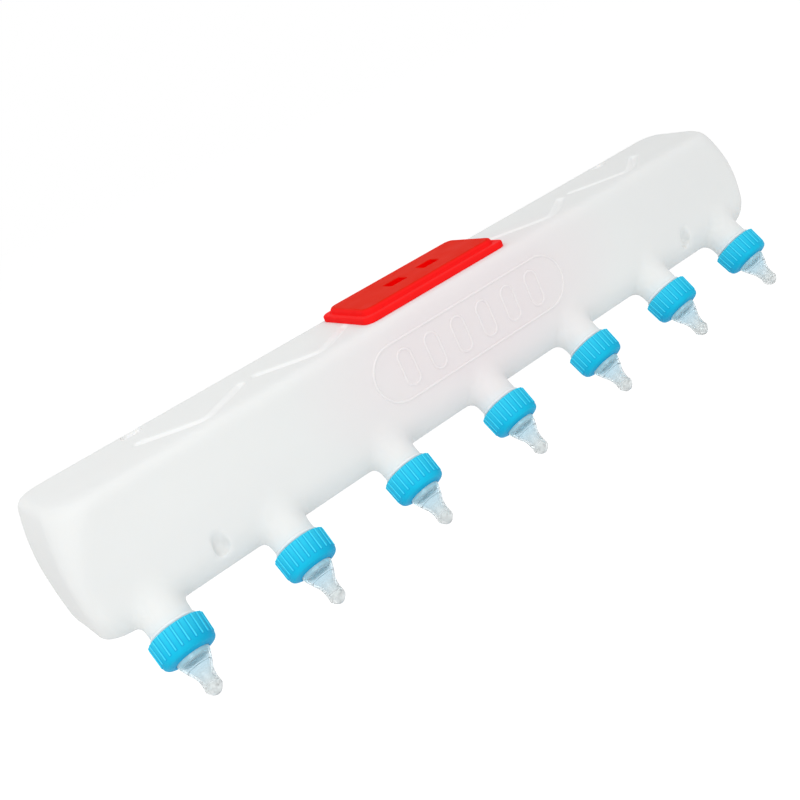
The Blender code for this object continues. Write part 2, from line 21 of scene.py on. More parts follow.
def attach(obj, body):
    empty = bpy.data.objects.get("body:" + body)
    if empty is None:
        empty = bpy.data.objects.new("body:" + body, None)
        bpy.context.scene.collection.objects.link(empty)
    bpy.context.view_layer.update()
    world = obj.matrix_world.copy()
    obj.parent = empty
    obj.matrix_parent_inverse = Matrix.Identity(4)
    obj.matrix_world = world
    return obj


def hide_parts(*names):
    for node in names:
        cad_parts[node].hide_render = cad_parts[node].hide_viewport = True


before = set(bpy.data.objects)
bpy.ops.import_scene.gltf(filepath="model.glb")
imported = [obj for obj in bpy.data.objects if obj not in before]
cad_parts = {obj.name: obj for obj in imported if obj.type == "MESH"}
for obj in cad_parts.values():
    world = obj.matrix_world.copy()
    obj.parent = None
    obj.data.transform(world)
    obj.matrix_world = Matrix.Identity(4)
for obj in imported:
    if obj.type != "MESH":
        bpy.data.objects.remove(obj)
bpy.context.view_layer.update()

LOG = logging.getLogger("drinker")
SAME_PLACE = 1e-6
TONE_RANGE = (0.35, 0.65)
SHEEN_RANGE = (0.3, 0.7)
WHITE = (1.0, 1.0, 1.0, 1.0)

Profile = list[tuple[float, float]]
Triple = tuple[float, float, float]


class Join(Enum):
    """How one solid changes another."""

    ADD = "UNION"
    CUT = "DIFFERENCE"


class Plastic(Enum):
    """The two coloured mouldings, as linear base colours."""

    LID_RED = (0.90, 0.001, 0.001)
    CAP_BLUE = (0.004, 0.50, 0.76)


def new_object(bm: BMesh, name: str) -> Object:
    """Turn a bmesh into an object at the origin, with its faces outwards.

    Args:
        bm: The finished mesh, which is freed here.
        name: Name of the object and of its mesh.

    Returns:
        The new object, linked to the scene.
    """
    mesh = bpy.data.meshes.new(name)
    bmesh.ops.recalc_face_normals(bm, faces=bm.faces[:])
    bm.to_mesh(mesh)
    bm.free()
    obj = bpy.data.objects.new(name, mesh)
    bpy.context.scene.collection.objects.link(obj)
    return obj


def settle(obj: Object) -> None:
    """Apply an object's modifiers.

    Args:
        obj: The object, which keeps its name and loses its modifiers.
    """
    bpy.context.view_layer.update()
    graph = bpy.context.evaluated_depsgraph_get()
    mesh = bpy.data.meshes.new_from_object(obj.evaluated_get(graph))
    obj.modifiers.clear()
    obj.data = mesh


def join(target: Object, tool: Object, how: Join) -> None:
    """Add a solid to another, or cut it away, and drop the tool.

    Args:
        target: The solid that is kept.
        tool: The solid that is added or cut away.
        how: Whether the tool adds or cuts.
    """
    modifier = target.modifiers.new("join", "BOOLEAN")
    modifier.operation = how.value
    modifier.solver = "MANIFOLD"
    modifier.object = tool
    settle(target)
    bpy.data.objects.remove(tool, do_unlink=True)


def united(solids: Sequence[Object]) -> Object:
    """Join all the solids onto the first one.

    Args:
        solids: The solids, which may overlap.

    Returns:
        The first one, with the others in it.
    """
    for solid in solids[1:]:
        join(solids[0], solid, Join.ADD)
    return solids[0]


def add_copies(bm: BMesh, mesh: Mesh, places: Sequence[Matrix]) -> None:
    """Add a copy of a mesh at each place.

    Args:
        bm: The mesh that gets the copies.
        mesh: The mesh on its own axis.
        places: The places.
    """
    for place in places:
        copy = mesh.copy()
        copy.transform(place)
        bm.from_mesh(copy)
        bpy.data.meshes.remove(copy)


def paint(obj: Object, name: str, share: Callable[[Vector], float]) -> None:
    """Give every point of a piece a share of a tone, which its finish reads.

    Args:
        obj: The piece.
        name: Name of the tone, as the finish knows it.
        share: The share at a point.
    """
    shares = obj.data.attributes.new(name, "FLOAT", "POINT")
    for vert, item in zip(obj.data.vertices, shares.data):
        item.value = share(vert.co)


def clamped(value: float) -> float:
    """A value held between zero and one."""
    return max(0.0, min(1.0, value))


def soften(obj: Object, degrees: float = 32.0) -> None:
    """Shade an object smooth, with edges over an angle in degrees kept crisp."""
    obj.data.shade_smooth()
    obj.data.set_sharp_from_angle(angle=math.radians(degrees))


def loft(bm: BMesh, outlines: Sequence[Sequence[Vector]]) -> None:
    """Raise one closed skin from its first outline through all the others.

    Args:
        bm: The mesh that gets the skin.
        outlines: Closed outlines of equal count, in order.
    """
    ring = [bm.verts.new(point) for point in outlines[0]]
    bm.faces.new(ring)
    for outline in outlines[1:]:
        pairs = zip(ring, ring[1:] + ring[:1])
        edges = [bm.edges.get(pair) for pair in pairs]
        made = bmesh.ops.extrude_edge_only(bm, edges=edges)["geom"]
        fresh = {item for item in made if isinstance(item, BMVert)}
        ring = [
            next(edge.other_vert(vert) for edge in vert.link_edges if edge.other_vert(vert) in fresh)
            for vert in ring
        ]
        for vert, point in zip(ring, outline):
            vert.co = point
    bm.faces.new(ring)


def spin(
    bm: BMesh,
    geom: Sequence[BMVert | BMEdge | BMFace],
    angle: float,
    steps: int,
    centre: float = 0.0,
    rise: float = 0.0,
    merge: bool = False,
) -> list[BMVert | BMEdge | BMFace]:
    """Sweep a part of a mesh round an upright axis.

    Args:
        bm: The mesh.
        geom: The part that is swept.
        angle: How far it turns.
        steps: Steps of the sweep.
        centre: Where the axis stands along X.
        rise: How far a step climbs.
        merge: Whether a full turn closes on its start.

    Returns:
        The last step of the sweep.
    """
    return bmesh.ops.spin(
        bm,
        geom=list(geom),
        cent=(centre, 0.0, 0.0),
        axis=(0.0, 0.0, 1.0),
        dvec=(0.0, 0.0, rise),
        angle=angle,
        steps=steps,
        use_merge=merge,
        use_duplicate=False,
    )["geom_last"]


def welded(bm: BMesh, before: set[BMVert]) -> list[BMVert]:
    """Merge the doubles among the vertices that a mesh has gained.

    Args:
        bm: The mesh.
        before: The vertices that it had before.

    Returns:
        The gained vertices that are left.
    """
    made = [vert for vert in bm.verts if vert not in before]
    bmesh.ops.remove_doubles(bm, verts=made, dist=SAME_PLACE)
    return [vert for vert in bm.verts if vert not in before]


def turn(bm: BMesh, profile: Profile, steps: int, ring: bool = True) -> list[BMVert]:
    """Turn a (radius, height) profile about Z.

    Args:
        bm: The mesh that gets the turned skin.
        profile: Points of the profile; both ends lie on the axis where it isn't a ring.
        steps: Steps of the full turn.
        ring: Whether the profile closes on itself.

    Returns:
        The vertices of the turned skin.
    """
    before = set(bm.verts)
    verts = [bm.verts.new((radius, 0.0, height)) for radius, height in profile]
    ends = verts[1:] + verts[:1] if ring else verts[1:]
    edges = [bm.edges.new(pair) for pair in zip(verts, ends)]
    spin(bm, verts + edges, math.tau, steps, merge=True)
    return welded(bm, before)


def arc(centre: tuple[float, float], radius: float, start: float, end: float, steps: int) -> Profile:
    """Points of an arc in a profile, from its start to its end angle in degrees."""
    angles = [math.radians(start + (end - start) * step / steps) for step in range(steps + 1)]
    return [(centre[0] + radius * math.cos(a), centre[1] + radius * math.sin(a)) for a in angles]


def capsule(bm: BMesh, radius: float, length: float, steps: int, place: Matrix) -> None:
    """Add a round-ended bar.

    Args:
        bm: The mesh that gets the bar.
        radius: Radius of the bar and of its ends.
        length: Length between the middles of its ends.
        steps: Steps round it.
        place: Where it lies; its axis is the matrix's Z and its middle the origin.
    """
    profile = arc((0.0, length / 2), radius, 90.0, 0.0, steps // 4)
    profile += arc((0.0, -length / 2), radius, 0.0, -90.0, steps // 4)
    profile[0] = (0.0, profile[0][1])
    profile[-1] = (0.0, profile[-1][1])
    verts = turn(bm, profile, steps, ring=False)
    bmesh.ops.transform(bm, matrix=place, verts=verts)


def drawn_in(radius: float, distance: float) -> float:
    """How far a rounded edge has drawn in.

    Args:
        radius: Radius of the edge.
        distance: Distance from the face that the edge ends on.

    Returns:
        The inset at that distance, zero past the radius.
    """
    if distance >= radius:
        return 0.0
    rise = radius - max(distance, 0.0)
    return radius - math.sqrt(max(radius**2 - rise**2, 0.0))


def crisply_drawn_in(across: float, down: float, power: float, distance: float) -> float:
    """How far a crisp edge has drawn in: a rounding that turns most of its way at its middle.

    Args:
        across: How far the rounding reaches across.
        down: How far it reaches down.
        power: How crisp it is; 2 is a plain round.
        distance: Distance from the face that the edge ends on.

    Returns:
        The inset at that distance, zero past the reach.
    """
    rise = 1.0 - max(distance, 0.0) / down
    if rise <= 0.0:
        return 0.0
    return across * (1.0 - (1.0 - rise**power) ** (1.0 / power))


def through(points: Profile, steps: int) -> Profile:
    """A smooth curve through points of a profile.

    Args:
        points: The points it passes, in order.
        steps: Steps between each two points.

    Returns:
        Points of the curve, the first and last of the given ones included.
    """
    path = [points[0], *points, points[-1]]
    curve = []
    for before, start, end, after in zip(path, path[1:], path[2:], path[3:]):
        for step in range(steps):
            t = step / steps
            curve.append(
                tuple(
                    0.5
                    * (
                        2 * b
                        + (c - a) * t
                        + (2 * a - 5 * b + 4 * c - d) * t**2
                        + (3 * b - a - 3 * c + d) * t**3
                    )
                    for a, b, c, d in zip(before, start, end, after)
                )
            )
    return [*curve, points[-1]]


@dataclass(frozen=True)
class Slab:
    """A slab with rounded upright corners, soft top and foot edges and drafted sides."""

    half_x: float
    half_y: float
    low: float
    high: float
    corner: float
    top_edge: float = 0.0
    foot_edge: float = 0.0
    draft: float = 0.0
    centre: tuple[float, float] = (0.0, 0.0)
    steps: int = 6

    def solid(self, name: str) -> Object:
        """Build the slab.

        Args:
            name: Name of the object.

        Returns:
            The closed slab.
        """
        bm = bmesh.new()
        verts = bmesh.ops.create_cube(bm, size=1.0)["verts"]
        bmesh.ops.scale(bm, vec=(2 * self.half_x, 2 * self.half_y, self.high - self.low), verts=verts)
        for vert in verts:
            if vert.co.z > 0.0:
                vert.co.x -= math.copysign(self.draft, vert.co.x)
                vert.co.y -= math.copysign(self.draft, vert.co.y)
        middle = (self.low + self.high) / 2
        bmesh.ops.translate(bm, vec=(self.centre[0], self.centre[1], middle), verts=verts)
        upright = [e for e in bm.edges if abs(e.verts[0].co.z - e.verts[1].co.z) > SAME_PLACE]
        self.bevel(bm, upright, self.corner, self.steps)
        for height, radius in ((self.high, self.top_edge), (self.low, self.foot_edge)):
            if radius > 0.0:
                rim = [e for e in bm.edges if all(abs(v.co.z - height) < SAME_PLACE for v in e.verts)]
                self.bevel(bm, rim, radius, self.steps)
        return new_object(bm, name)

    @staticmethod
    def bevel(bm: BMesh, edges: Sequence[BMEdge], radius: float, steps: int) -> None:
        """Round edges.

        Args:
            bm: The slab's mesh.
            edges: The edges to round.
            radius: Radius of the rounding.
            steps: Steps of the rounding.
        """
        bmesh.ops.bevel(
            bm,
            geom=list(edges),
            offset=radius,
            offset_type="OFFSET",
            affect="EDGES",
            segments=steps,
            profile=0.5,
            material=-1,
        )


def ray_is(tree: NodeTree, *kinds: str) -> NodeSocket:
    """One for some kinds of light ray, and zero for all others.

    Args:
        tree: The node tree that reads it.
        kinds: The kinds, as the Light Path node names them.

    Returns:
        The value.
    """
    path = tree.nodes.new("ShaderNodeLightPath")
    value = path.outputs[kinds[0]]
    for kind in kinds[1:]:
        either = tree.nodes.new("ShaderNodeMath")
        either.operation = "MAXIMUM"
        tree.links.new(value, either.inputs[0])
        tree.links.new(path.outputs[kind], either.inputs[1])
        value = either.outputs[0]
    return value


class Bench:
    """Lays out the nodes of one material."""

    def __init__(self, name: str) -> None:
        """Start a Principled material.

        Args:
            name: Name of the material.
        """
        self.material = bpy.data.materials.new(name)
        self.material.use_nodes = True
        self.tree = self.material.node_tree
        self.shader = self.tree.nodes["Principled BSDF"]
        self.place = self.tree.nodes.new("ShaderNodeTexCoord").outputs["Object"]

    def set(self, name: str, value: float | tuple[float, ...]) -> None:
        """Set one of the shader's own numbers."""
        self.shader.inputs[name].default_value = value

    def link(self, source: NodeSocket, name: str) -> None:
        """Link a socket to one of the shader's inputs."""
        self.tree.links.new(source, self.shader.inputs[name])

    def node(self, kind: str, inputs: dict[str, NodeSocket | float | Sequence[float]]) -> Node:
        """Add a node.

        Args:
            kind: Type of the node.
            inputs: What each of its inputs is linked or set to.

        Returns:
            The node.
        """
        node = self.tree.nodes.new(kind)
        for name, value in inputs.items():
            if isinstance(value, NodeSocket):
                self.tree.links.new(value, node.inputs[name])
            else:
                node.inputs[name].default_value = value
        return node

    def noise(
        self, scale: float, detail: float = 2.0, stretch: Sequence[float] = (1.0, 1.0, 1.0)
    ) -> NodeSocket:
        """Noise on the piece's own coordinates.

        Args:
            scale: Scale of the noise, in cells a metre.
            detail: Octaves of detail.
            stretch: Scale of the coordinates along each axis.

        Returns:
            The noise's value.
        """
        mapping = self.node("ShaderNodeMapping", {"Vector": self.place, "Scale": stretch})
        inputs = {"Vector": mapping.outputs["Vector"], "Scale": scale, "Detail": detail}
        return self.node("ShaderNodeTexNoise", inputs).outputs["Fac"]

    def glow(self, centre: Sequence[float], reach: Sequence[float]) -> NodeSocket:
        """A soft spot: one at its centre, falling to nothing at its reach.

        Args:
            centre: Middle of the spot, in the piece's coordinates.
            reach: How far it reaches along each axis.

        Returns:
            The spot's value.
        """
        inputs = {"Vector": self.place, "Location": centre, "Scale": reach}
        mapping = self.node("ShaderNodeMapping", inputs)
        mapping.vector_type = "TEXTURE"
        spot = self.node("ShaderNodeTexGradient", {"Vector": mapping.outputs["Vector"]})
        spot.gradient_type = "SPHERICAL"
        return spot.outputs["Fac"]

    def painted(self, attribute: str) -> NodeSocket:
        """The value of one of the mesh's own attributes.

        Args:
            attribute: Name of the attribute.

        Returns:
            Its value.
        """
        node = self.tree.nodes.new("ShaderNodeAttribute")
        node.attribute_name = attribute
        return node.outputs["Fac"]

    def span(
        self, value: NodeSocket, low: float, high: float, start: float = 0.0, end: float = 1.0
    ) -> NodeSocket:
        """Spread a value from its range, start to end, to another, low to high."""
        inputs = {"Value": value, "From Min": start, "From Max": end, "To Min": low, "To Max": high}
        return self.node("ShaderNodeMapRange", inputs).outputs["Result"]

    def mix(self, factor: NodeSocket, first: NodeSocket | Triple, second: Triple) -> NodeSocket:
        """Mix two colours.

        Args:
            factor: Share of the second colour.
            first: First colour, or the socket that gives it.
            second: Second colour.

        Returns:
            The mixed colour.
        """
        node = self.tree.nodes.new("ShaderNodeMix")
        node.data_type = "RGBA"
        inputs = [socket for socket in node.inputs if socket.type == "RGBA"]
        self.tree.links.new(factor, node.inputs[0])
        if isinstance(first, tuple):
            inputs[0].default_value = (*first, 1.0)
        else:
            self.tree.links.new(first, inputs[0])
        inputs[1].default_value = (*second, 1.0)
        return next(socket for socket in node.outputs if socket.type == "RGBA")

    def bump(
        self, height: NodeSocket, strength: float, distance: float, over: NodeSocket | None = None
    ) -> NodeSocket:
        """Raise the surface by a value.

        Args:
            height: The height.
            strength: Strength of the bump.
            distance: Height of a full step, in metres.
            over: Another bump that this one lies on.

        Returns:
            The bumped normal.
        """
        inputs = {"Height": height, "Strength": strength, "Distance": distance}
        if over is not None:
            inputs["Normal"] = over
        return self.node("ShaderNodeBump", inputs).outputs["Normal"]


@dataclass(frozen=True)
class MilkyPolyethylene:
    """Natural blow-moulded polyethylene: milky white, satin, with the lid's red light painted in by it.
    """

    white: Triple = (0.808, 0.821, 0.813)
    cloudy: Triple = (0.790, 0.801, 0.796)
    # Painted light: red from the lid near it, blue bounced from the caps by the necks, and paler light in
    # the top's grooves and hook seats.
    painted_lid_glow: Triple = (0.803, 0.751, 0.760)
    painted_cap_bounce: Triple = (0.738, 0.838, 0.885)
    painted_top_light: Triple = (0.91, 0.91, 0.91)
    lid_glow_centre: Triple = (0.008, -0.098, 0.018)
    lid_glow_reach: Triple = (0.17, 0.10, 0.085)
    lid_glow_share: float = 0.9
    lid_glow_full: float = 0.6
    cap_bounce_centre: Triple = (0.0, -0.109, -0.063)
    cap_bounce_reach: Triple = (9.0, 0.026, 0.026)
    cap_bounce_share: float = 0.85
    cap_bounce_full: float = 0.8
    clouds: float = 11.0
    cloud_stretch: Triple = (0.5, 1.0, 1.0)
    roughness: tuple[float, float] = (0.62, 0.72)
    gloss: float = 0.1
    glow_share: float = 0.6
    glow_colour: Triple = (1.0, 0.95, 0.9)
    glow_depth: float = 0.0018
    waves: float = 16.0
    wave_stretch: Triple = (0.6, 1.0, 1.0)
    wave_strength: float = 0.35
    wave_height: float = 0.0012
    grain: float = 900.0
    grain_strength: float = 0.12
    grain_height: float = 0.00008

    def material(self) -> Material:
        """Build the finish.

        Returns:
            The material.
        """
        bench = Bench("milky polyethylene")
        cloud = bench.noise(self.clouds, stretch=self.cloud_stretch)
        base = bench.mix(bench.span(cloud, 0.0, 1.0, *TONE_RANGE), self.white, self.cloudy)
        # Painted light: a red glow of the lid's light on the tank round the lid.
        lid_glow = bench.glow(self.lid_glow_centre, self.lid_glow_reach)
        base = bench.mix(bench.span(lid_glow, 0.0, self.lid_glow_share, end=self.lid_glow_full), base, self.painted_lid_glow)
        # Painted light: the top's grooves get a painted highlight and the hook seats painted light over
        # their shaded recesses.
        base = bench.mix(bench.painted("painted_top_light"), base, self.painted_top_light)
        # Painted light: a blue bounce of the caps on the tank by the necks.
        neck = bench.glow(self.cap_bounce_centre, self.cap_bounce_reach)
        base = bench.mix(bench.span(neck, 0.0, self.cap_bounce_share, end=self.cap_bounce_full), base, self.painted_cap_bounce)
        bench.link(base, "Base Color")
        bench.link(bench.span(cloud, *self.roughness, *SHEEN_RANGE), "Roughness")
        bench.set("Specular IOR Level", self.gloss)
        bench.set("Subsurface Weight", self.glow_share)
        bench.set("Subsurface Radius", self.glow_colour)
        bench.set("Subsurface Scale", self.glow_depth)
        waves = bench.noise(self.waves, detail=1.0, stretch=self.wave_stretch)
        wave = bench.bump(waves, self.wave_strength, self.wave_height)
        grain = bench.bump(bench.noise(self.grain), self.grain_strength, self.grain_height, wave)
        bench.link(grain, "Normal")
        return bench.material


@dataclass(frozen=True)
class MouldedPlastic:
    """Coloured polypropylene with fine moulded grain, painted shade in places, painted light on edges."""

    name: str
    colour: Plastic
    deep: Triple
    painted_light: Triple
    gloss: float = 0.12
    roughness: tuple[float, float] = (0.51, 0.61)
    flow: float = 60.0
    flow_shade: float = 0.93
    grain: float = 1400.0
    grain_strength: float = 0.18
    grain_height: float = 0.00006

    def material(self) -> Material:
        """Build the finish.

        Returns:
            The material.
        """
        bench = Bench(self.name)
        base = self.colour.value
        shaded = tuple(self.flow_shade * part for part in base)
        flow = bench.noise(self.flow, detail=3.0)
        body = bench.mix(bench.span(flow, 0.0, 1.0, *TONE_RANGE), base, shaded)
        # Painted shade (the deep tone) and painted light (the paler tone), where each piece paints them.
        body = bench.mix(bench.painted("deep"), body, self.deep)
        bench.link(bench.mix(bench.painted("painted_light"), body, self.painted_light), "Base Color")
        bench.link(bench.span(flow, *self.roughness, *SHEEN_RANGE), "Roughness")
        bench.set("Specular IOR Level", self.gloss)
        grain = bench.bump(bench.noise(self.grain), self.grain_strength, self.grain_height)
        bench.link(grain, "Normal")
        return bench.material


@dataclass(frozen=True)
class ClearSilicone:
    """Clear silicone, hazier towards the tip, that lets light through to what lies behind it."""

    tint: Triple = (0.74, 0.87, 0.93)
    haze: Triple = (0.85, 0.88, 0.88)
    painted_cap_blue: Triple = (0.50, 0.80, 0.90)
    roughness: tuple[float, float] = (0.10, 0.28)
    bending: float = 1.41
    passing: float = 0.8
    grain: float = 500.0
    grain_strength: float = 0.10
    grain_height: float = 0.0001

    def material(self) -> Material:
        """Build the finish.

        Returns:
            The material.
        """
        bench = Bench("clear silicone")
        along = bench.painted("along")
        colour = bench.mix(along, self.tint, self.haze)
        # The thick root is hazier, and is painted the cap's blue as a painted reflection of the cap.
        bench.link(bench.mix(bench.painted("root"), colour, self.painted_cap_blue), "Base Color")
        bench.link(bench.span(along, *self.roughness), "Roughness")
        bench.link(bench.painted("clear"), "Transmission Weight")
        bench.set("IOR", self.bending)
        passed = ray_is(bench.tree, "Is Shadow Ray", "Is Diffuse Ray")
        bench.link(bench.span(passed, 1.0, self.passing), "Alpha")
        grain = bench.bump(bench.noise(self.grain), self.grain_strength, self.grain_height)
        bench.link(grain, "Normal")
        return bench.material


@dataclass(frozen=True)
class WhiteFloor:
    """A matt white floor that reads as plain white and keeps the shadow."""

    shade: tuple[float, float, float, float] = (0.90, 0.90, 0.90, 1.0)
    roughness: float = 0.9
    lift: float = 0.345

    def material(self) -> Material:
        """Build the finish.

        Returns:
            The material.
        """
        bench = Bench("white floor")
        bench.set("Base Color", self.shade)
        bench.set("Roughness", self.roughness)
        bench.set("Specular IOR Level", 0.0)
        seen = ray_is(bench.tree, "Is Camera Ray", "Is Glossy Ray", "Is Transmission Ray")
        bench.set("Emission Color", WHITE)
        bench.link(bench.span(seen, 0.0, self.lift), "Emission Strength")
        return bench.material


@dataclass(frozen=True)
class TankForm:
    """Outer form of the tank: its size, its rakes and the radii of its edges."""

    length: float = 0.6951
    height: float = 0.104
    depth: float = 0.0975
    wall: float = 0.0026
    rake: float = 0.008
    front_foot_radius: float = 0.032
    front_top_radius: float = 0.013
    top_edge_shape: float = 0.85
    top_edge_power: float = 3.2
    back_foot_radius: float = 0.012
    back_top_radius: float = 0.004
    widest_height: float = 0.046
    end_top_draw: float = 0.0098
    end_foot_draw: float = 0.0023
    end_slant: float = 0.0057
    end_foot_radius: float = 0.010
    end_top_radius: float = 0.005
    front_corner: float = 0.012
    front_corner_top: float = 0.036
    front_corner_foot: float = 0.023
    back_corner: float = 0.015

    @property
    def top(self) -> float:
        """Height of the tank's top."""
        return self.height / 2

    @property
    def foot(self) -> float:
        """Height of the tank's underside."""
        return -self.height / 2

    def front_y(self, z: float) -> float:
        """Place of the raked front face at a height."""
        return -self.depth + self.rake * (z - self.foot) / self.height

    def from_widest(self, z: float) -> tuple[float, bool]:
        """Where a height lies between the widest one and the top or foot.

        Args:
            z: The height.

        Returns:
            Its share of the way there, and whether it lies above the widest height.
        """
        height = z - self.foot
        if height > self.widest_height:
            return (height - self.widest_height) / (self.height - self.widest_height), True
        return (self.widest_height - height) / self.widest_height, False

    def end_x(self, z: float) -> float:
        """Half the tank's length at a height, before its edges are rounded."""
        share, above = self.from_widest(z)
        return self.length / 2 - (self.end_top_draw if above else self.end_foot_draw) * share**2

    def corner(self, z: float) -> float:
        """Radius of the front corners in plan.

        Args:
            z: The height.

        Returns:
            The radius there.
        """
        share, above = self.from_widest(z)
        far = self.front_corner_top if above else self.front_corner_foot
        return self.front_corner + (far - self.front_corner) * share**2

    def outline(self, z: float, inset: float, steps: int) -> list[Vector]:
        """The tank's outline at a height.

        Args:
            z: The height.
            inset: How far the outline is drawn in.
            steps: Steps of each rounded corner.

        Returns:
            The closed outline, anticlockwise from above.
        """
        up = self.top - inset - z
        down = z - self.foot - inset
        front = self.front_y(z) + inset
        front += drawn_in(self.front_foot_radius - inset, down)
        reach = self.front_top_radius - inset
        front += crisply_drawn_in(reach, reach * self.top_edge_shape, self.top_edge_power, up)
        back = -inset - drawn_in(self.back_foot_radius - inset, down)
        back -= drawn_in(self.back_top_radius - inset, up)
        end = self.end_x(z) - inset - drawn_in(self.end_foot_radius - inset, down)
        end -= drawn_in(self.end_top_radius - inset, up)
        near = self.corner(z) - inset
        far = self.back_corner - inset
        quarter = [math.pi / 2 * step / steps for step in range(steps + 1)]
        half = []
        for angle in quarter:
            x = end - self.end_slant - near + near * math.sin(angle)
            half.append(Vector((x, front + near - near * math.cos(angle), z)))
        for angle in quarter:
            x = end - far + far * math.cos(angle)
            half.append(Vector((x, back - far + far * math.sin(angle), z)))
        return half + [Vector((-point.x, point.y, point.z)) for point in reversed(half)]

    def levels(self, inset: float, foot_steps: int, top_steps: int) -> list[float]:
        """Heights of the outlines, close together where the edges turn.

        Args:
            inset: How far the outlines are drawn in.
            foot_steps: Steps of the lower edge.
            top_steps: Steps of the upper edge.

        Returns:
            The heights, lowest first.
        """
        low = self.foot + inset
        high = self.top - inset
        foot_radius = self.front_foot_radius - inset
        top_radius = self.front_top_radius - inset
        turns = [math.pi / 2 * step / foot_steps for step in range(foot_steps + 1)]
        levels = [low + foot_radius * (1.0 - math.cos(angle)) for angle in turns]
        straight = high - top_radius - levels[-1]
        levels += [levels[-1] + straight * share for share in (0.2, 0.4, 0.6, 0.8)]
        turns = [math.pi / 2 * step / top_steps for step in range(top_steps, -1, -1)]
        return levels + [high - top_radius * (1.0 - math.cos(angle)) for angle in turns]

    def solid(self, name: str, inset: float, steps: int) -> Object:
        """The tank's form as one closed skin.

        Args:
            name: Name of the object.
            inset: How far it is drawn in.
            steps: Steps of its rounded corners.

        Returns:
            The closed skin.
        """
        bm = bmesh.new()
        levels = self.levels(inset, steps + 4, steps)
        loft(bm, [self.outline(z, inset, steps) for z in levels])
        return new_object(bm, name)


@dataclass(frozen=True)
class NeckRow:
    """The row of screw necks along the tank's lower front edge."""

    tank: TankForm = field(default_factory=TankForm)
    count: int = 7
    pitch: float = 0.100
    tilt: float = math.radians(40.5)
    offset: float = 0.0068
    length: float = 0.0342
    radius: float = 0.0163
    wall: float = 0.0023
    fillet: float = 0.0105
    root: float = 0.006
    sink: float = 0.0004
    blank_end: float = -0.0100
    blank_tail: float = 0.002

    def frames(self) -> list[Matrix]:
        """The matrices at all the necks' mouths."""
        return [self.frame(index) for index in range(self.count)]

    def frame(self, index: int) -> Matrix:
        """Matrix at a neck's mouth, with its Z out along the neck and its X along the tank.

        Args:
            index: Number of the neck, from 0 at the -X end.

        Returns:
            The matrix.
        """
        radius = self.tank.front_foot_radius
        out = Vector((0.0, -math.sin(self.tilt), -math.cos(self.tilt)))
        across = Vector((0.0, -math.cos(self.tilt), math.sin(self.tilt)))
        z = self.tank.foot + radius
        x = (index - (self.count - 1) / 2) * self.pitch
        centre = Vector((x, self.tank.front_y(z) + radius, z))
        mouth = centre + across * self.offset + out * (radius + self.length)
        turned = Matrix((Vector((1.0, 0.0, 0.0)), across, out)).transposed()
        return Matrix.Translation(mouth) @ turned.to_4x4()

    def skin_height(self, across: float) -> float:
        """Height of the tank's skin under a neck, along the neck from its mouth.

        Args:
            across: Sideways place, up the tank's front.

        Returns:
            The height, below zero.
        """
        radius = self.tank.front_foot_radius
        side = across + self.offset
        slope = self.tank.rake / self.tank.height
        sine = math.sin(self.tilt)
        cosine = math.cos(self.tilt)
        front = (radius - side * (cosine + slope * sine)) / (sine - slope * cosine)
        under = (radius + side * sine) / cosine
        height = min(front, under)
        if abs(side) < radius:
            reach = math.sqrt(radius**2 - side**2)
            if side * sine <= reach * cosine and side * cosine >= -reach * sine:
                height = min(height, reach)
        return height - (radius + self.length)

    def blank(self, steps: int, flare_steps: int = 8) -> list[list[Vector]]:
        """Outlines of a neck blank from inside the tank to its end, flared into the tank's edge.

        Args:
            steps: Steps round it.
            flare_steps: Steps of the flare.

        Returns:
            The outlines, lowest first.
        """
        foot = self.radius + self.fillet
        angles = [math.tau * step / steps for step in range(steps)]

        def ring(place: Callable[[float], tuple[float, float]]) -> list[Vector]:
            """One outline.

            Args:
                place: Gives the radius and height for each lean.

            Returns:
                The outline.
            """
            points = []
            for angle in angles:
                radius, height = place(math.sin(angle))
                points.append(Vector((radius * math.cos(angle), radius * math.sin(angle), height)))
            return points

        def flare(lean: float, share: float) -> tuple[float, float]:
            """A point of the flare.

            Args:
                lean: How far the point leans up the tank's front, -1 to 1.
                share: Its share of the way up the flare.

            Returns:
                Its radius and height.
            """
            knee = self.skin_height(self.radius * lean)
            low = self.skin_height(foot * lean) - self.sink
            start = (1.0 - share) ** 2
            middle = 2 * share * (1.0 - share)
            radius = start * foot + (middle + share**2) * self.radius
            return radius, start * low + middle * knee + share**2 * (knee + self.fillet)

        rings = [ring(lambda lean: (self.radius, self.skin_height(foot * lean) - self.root))]
        for step in range(flare_steps + 1):
            rings.append(ring(lambda lean, share=step / flare_steps: flare(lean, share)))
        for height in (self.blank_end - self.blank_tail, self.blank_end):
            rings.append(ring(lambda lean, level=height: (self.radius, level)))
        return rings


